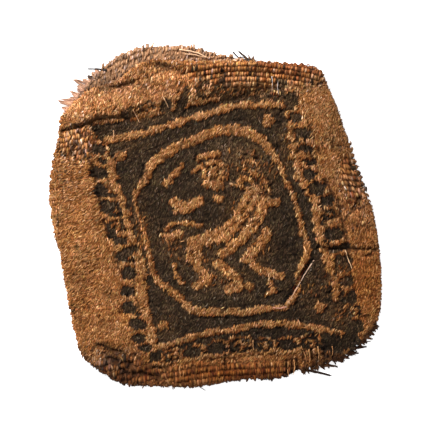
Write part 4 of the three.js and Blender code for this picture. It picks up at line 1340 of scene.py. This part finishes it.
def tuft(root, angle, length, width, colour, rng):
    """One tapering tuft: filaments side by side that lean together and end unevenly."""
    share = np.linspace(0, 1, 8)
    way = np.array([math.cos(math.radians(angle)), math.sin(math.radians(angle))])
    side = np.array([-way[1], way[0]])
    bend = rng.normal(0, 0.07) * length
    paths, radii, colours = [], [], []
    for _ in range(3 + int(7 * width)):
        off = rng.uniform(-0.5, 0.5)
        own = length * (1 - 1.1 * abs(off) ** 1.3) * rng.uniform(0.75, 1.05)
        run = share * (own + 1) - 1
        tip = np.clip(run / max(length, 0.1), 0, 1)
        across = width * off * (1 - 0.65 * tip) + bend * tip**2 + rng.normal(0, 0.1) * tip
        across += 0.07 * np.sin(6 * share + rng.uniform(0, 6))
        z = TUFT_HEIGHT * rng.uniform(0.55, 1) * (1 - 0.6 * tip) + 0.1
        paths.append(np.c_[root + np.outer(run, way) + np.outer(across, side), z])
        radii.append(rng.uniform(0.12, 0.2) * (1 - 0.5 * share**3))
        tones = colour * rng.uniform(0.6, 1.25) * np.array([1, 1, rng.uniform(0.85, 1.05)])
        colours.append(tones * (1 - 0.35 * tip[:, None]))
    return paths, radii, colours


def add_fray(name, slot, out, edge, strands, layer):
    """Frayed ends that stand for one of the part's strips: tufts, and short ends between them."""
    rng = np.random.default_rng(SEED + len(name))
    _, colour, bulk, longest, shades = FRAY_COLOURS[name]
    colour = linear(colour)
    out = np.array(out) / np.linalg.norm(out)
    line = trimmed(edge, STRIP["trim"])
    run = run_along(line)

    def root_at(share, beyond):
        return places_at([share], run / run[-1], line)[0] + out * (PART_GAP + beyond)

    tufts = []
    for at, length, angle, width in strands:
        wide = width * (bulk if width > 0.47 else 1)
        root = root_at(at, STRIP["width"] / 2)
        tufts.append(tuft(root, angle, length, wide, colour * shades.get(at, 1), rng))
    heading = math.degrees(math.atan2(out[1], out[0]))
    for at in rng.random(int(run[-1] / 0.4)):
        root = root_at(at, rng.uniform(-0.1, 0.3))
        turn = heading + rng.normal(0, 26)
        reach, wide = longest * rng.uniform(0.3, 1), rng.uniform(0.3, 0.65)
        tufts.append(tuft(root, turn, reach, wide, colour, rng))
    paths, radii, colours = (np.array(sum(column, [])) for column in zip(*tufts))
    own_layer = layer._replace(slot=slot)
    return tube_object(name.replace("fray", "frayed"), paths, radii, colours, own_layer, name)


def add_threads(layer):
    """The loose threads that can be made out one by one, with the dark and light threads that paint
    shade and highlights along the slit.
    """
    rng = np.random.default_rng(SEED + 2)
    stations = 12
    paths, radii, colours = [], [], []
    for colour, radius, on_face, *places in THREADS:
        run = run_along(places)
        path = places_at(np.linspace(0, run[-1], stations), run, places)
        for _ in range(2):
            path[1:-1] = (path[:-2] + 2 * path[1:-1] + path[2:]) / 4
        if on_face:
            path[:, 2] += face_top(path[:, 0], path[:, 1])
        path[:, :2] += rng.normal(0, 0.03, (stations, 2))
        paths.append(path)
        radii.append(radius * np.linspace(1, 0.5, stations) * rng.uniform(0.85, 1.15, stations))
        colours.append([linear(colour)])
    return tube_object("loose_threads_and_slit_shading", np.array(paths), np.array(radii), np.array(colours), layer)


def set_inputs(tree, node, values):
    """Set a node's inputs by name or number, each to a plain value or to another node's output."""
    for key, value in values.items():
        if isinstance(value, bpy.types.NodeSocket):
            tree.links.new(value, node.inputs[key])
        else:
            node.inputs[key].default_value = value


def add_node(tree, kind, values, output, **settings):
    """A node with its settings and inputs. Gives back the output that is used."""
    node = tree.nodes.new("ShaderNode" + kind)
    for key, value in settings.items():
        setattr(node, key, value)
    set_inputs(tree, node, values)
    return node.outputs[output]


def wool_material(name, fibre_scale, sheen):
    """Old wool: painted tints, soil and fading in patches, fine fibres and the twist of threads."""
    material = bpy.data.materials.new(name)
    material.use_nodes = True
    tree = material.node_tree
    tint = add_node(tree, "Attribute", {}, "Color", attribute_name="tint")
    lay = add_node(tree, "Attribute", {}, "Vector", attribute_name="lay")
    where = add_node(tree, "TexCoord", {}, "Object")
    fibres = add_node(tree, "TexNoise", {
        "Vector": where, "Scale": fibre_scale, "Detail": 4, "Roughness": 0.65,
    }, "Fac")
    patches = add_node(tree, "TexNoise", {"Vector": where, "Scale": 260, "Detail": 5}, "Fac")
    contrast = add_node(tree, "MapRange", {"Value": fibres, "From Min": 0.3, "From Max": 0.7}, "Result")
    # Fine fibres, at random darker and browner, and lighter and paler; the paleness of the lighter ones
    # is a painted sheen.
    fibre_shade = add_node(tree, "Mix", {
        "Factor": contrast, "A": (0.6, 0.52, 0.45, 1), "B": (1.42, 1.52, 1.7, 1),
    }, "Result", data_type="RGBA")
    patch_shade = add_node(tree, "MapRange", {
        "Value": patches, "From Min": 0.35, "From Max": 0.65, "To Min": 0.84, "To Max": 1.16,
    }, "Result")
    fibred = add_node(tree, "VectorMath", {0: tint, 1: fibre_shade}, "Vector", operation="MULTIPLY")
    colour = add_node(
        tree, "VectorMath", {0: fibred, "Scale": patch_shade}, "Vector", operation="SCALE"
    )
    roughness = add_node(tree, "MapRange", {"Value": fibres, "To Min": 0.8, "To Max": 1}, "Result")
    twist = add_node(
        tree, "TexWave", {"Vector": lay, "Scale": 2.2, "Distortion": 1.5}, "Fac",
        wave_type="BANDS", bands_direction="DIAGONAL",
    )
    relief = add_node(tree, "Math", {0: twist, 1: 0.4, 2: fibres}, "Value", operation="MULTIPLY_ADD")
    bump = add_node(tree, "Bump", {"Height": relief, "Strength": 0.6, "Distance": 0.00008}, "Normal")
    set_inputs(tree, tree.nodes["Principled BSDF"], {
        "Base Color": colour, "Roughness": roughness, "Normal": bump,
        "Specular IOR Level": 0.08, "Sheen Weight": sheen, "Sheen Roughness": 0.6,
    })
    return material


def add_camera():
    """A long lens straight above, which frames the face as the photo does."""
    data = bpy.data.cameras.new("camera")
    data.lens = 135
    data.sensor_width = 36
    distance = PHOTO_WIDTH * data.lens / data.sensor_width
    place = (PHOTO_CENTRE[0] * MM, PHOTO_CENTRE[1] * MM, (FACE_LEVEL + distance) * MM)
    bpy.context.scene.camera = add_object("camera", data, place)


def add_lamp():
    """One soft lamp at the upper left, pointed at the middle of the cloth."""
    data = bpy.data.lights.new("key", "AREA")
    data.size = LAMP["size"]
    data.energy = LAMP["power"]
    lamp = add_object("key", data, LAMP["place"])
    lamp.rotation_euler = (-Vector(LAMP["place"])).to_track_quat("-Z", "Y").to_euler()


def add_surround():
    world = bpy.data.worlds.new("surround")
    world.use_nodes = True
    set_inputs(world.node_tree, world.node_tree.nodes["Background"], {
        "Color": (1, 1, 1, 1), "Strength": 0.5,
    })
    bpy.context.scene.world = world
    bpy.context.scene.view_settings.view_transform = "Standard"


def add_floor():
    """A white floor that glows a little, so that it stays white in shade."""
    half = 1.2
    mesh = bpy.data.meshes.new("floor")
    corners = [(-half, -half, 0), (half, -half, 0), (half, half, 0), (-half, half, 0)]
    mesh.from_pydata(corners, [], [(0, 1, 2, 3)])
    material = bpy.data.materials.new("floor_white")
    material.use_nodes = True
    set_inputs(material.node_tree, material.node_tree.nodes["Principled BSDF"], {
        "Base Color": (0.94, 0.94, 0.94, 1), "Roughness": 0.9,
        "Emission Color": (1, 1, 1, 1), "Emission Strength": 0.75,
    })
    mesh.materials.append(material)
    floor = add_object("floor", mesh)
    return floor


def build():
    add_camera()
    add_surround()
    add_lamp()
    floor = add_floor()
    face = Layer(
        outline=FACE, holes=[OPENING], base_at=lift_height, ground_at=cloth_top, top_at=face_top,
        lay_at=lay_of, colours_at=wool_colours, tints_at=face_tints, slot="tapestry_wool",
        material=wool_material("tapestry_wool", fibre_scale=4200, sheen=0.03),
    )
    pale = Layer(
        outline=BACKING, holes=[], base_at=table_level, ground_at=backing_top, top_at=backing_top,
        lay_at=pale_lay, colours_at=pale_colours, tints_at=pale_tints, slot="pale_wool",
        material=wool_material("pale_wool", fibre_scale=3600, sheen=0.05),
    )
    woven_face = closed_layer("woven_face", face, "tapestry_sheet", step=0.7)
    face_parts = [
        *add_face_wefts(face),
        add_fuzz("face_fuzz", face, most=3600),
        add_rim("face_rim", face, FACE, spacing=0.17),
        add_rim("slit_rim", face, OPENING[::-1], spacing=0.16, reach=0.08),
    ]
    pale_layer = closed_layer("pale_layer", pale, "backing_cloth", step=0.9)
    pale_parts = [add_pale_wefts(pale), add_rim("pale_rim", pale, BACKING, spacing=0.3)]
    for name, *fray in FRAYS:
        add_fray(name, *fray, pale if FRAY_COLOURS[name][0] else face)
    add_threads(face)


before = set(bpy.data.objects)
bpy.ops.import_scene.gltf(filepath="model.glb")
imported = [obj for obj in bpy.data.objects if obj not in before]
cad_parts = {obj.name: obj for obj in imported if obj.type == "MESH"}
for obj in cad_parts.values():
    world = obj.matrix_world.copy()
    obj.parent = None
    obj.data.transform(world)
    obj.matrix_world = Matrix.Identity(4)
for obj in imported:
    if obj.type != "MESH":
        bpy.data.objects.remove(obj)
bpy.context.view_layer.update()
build()
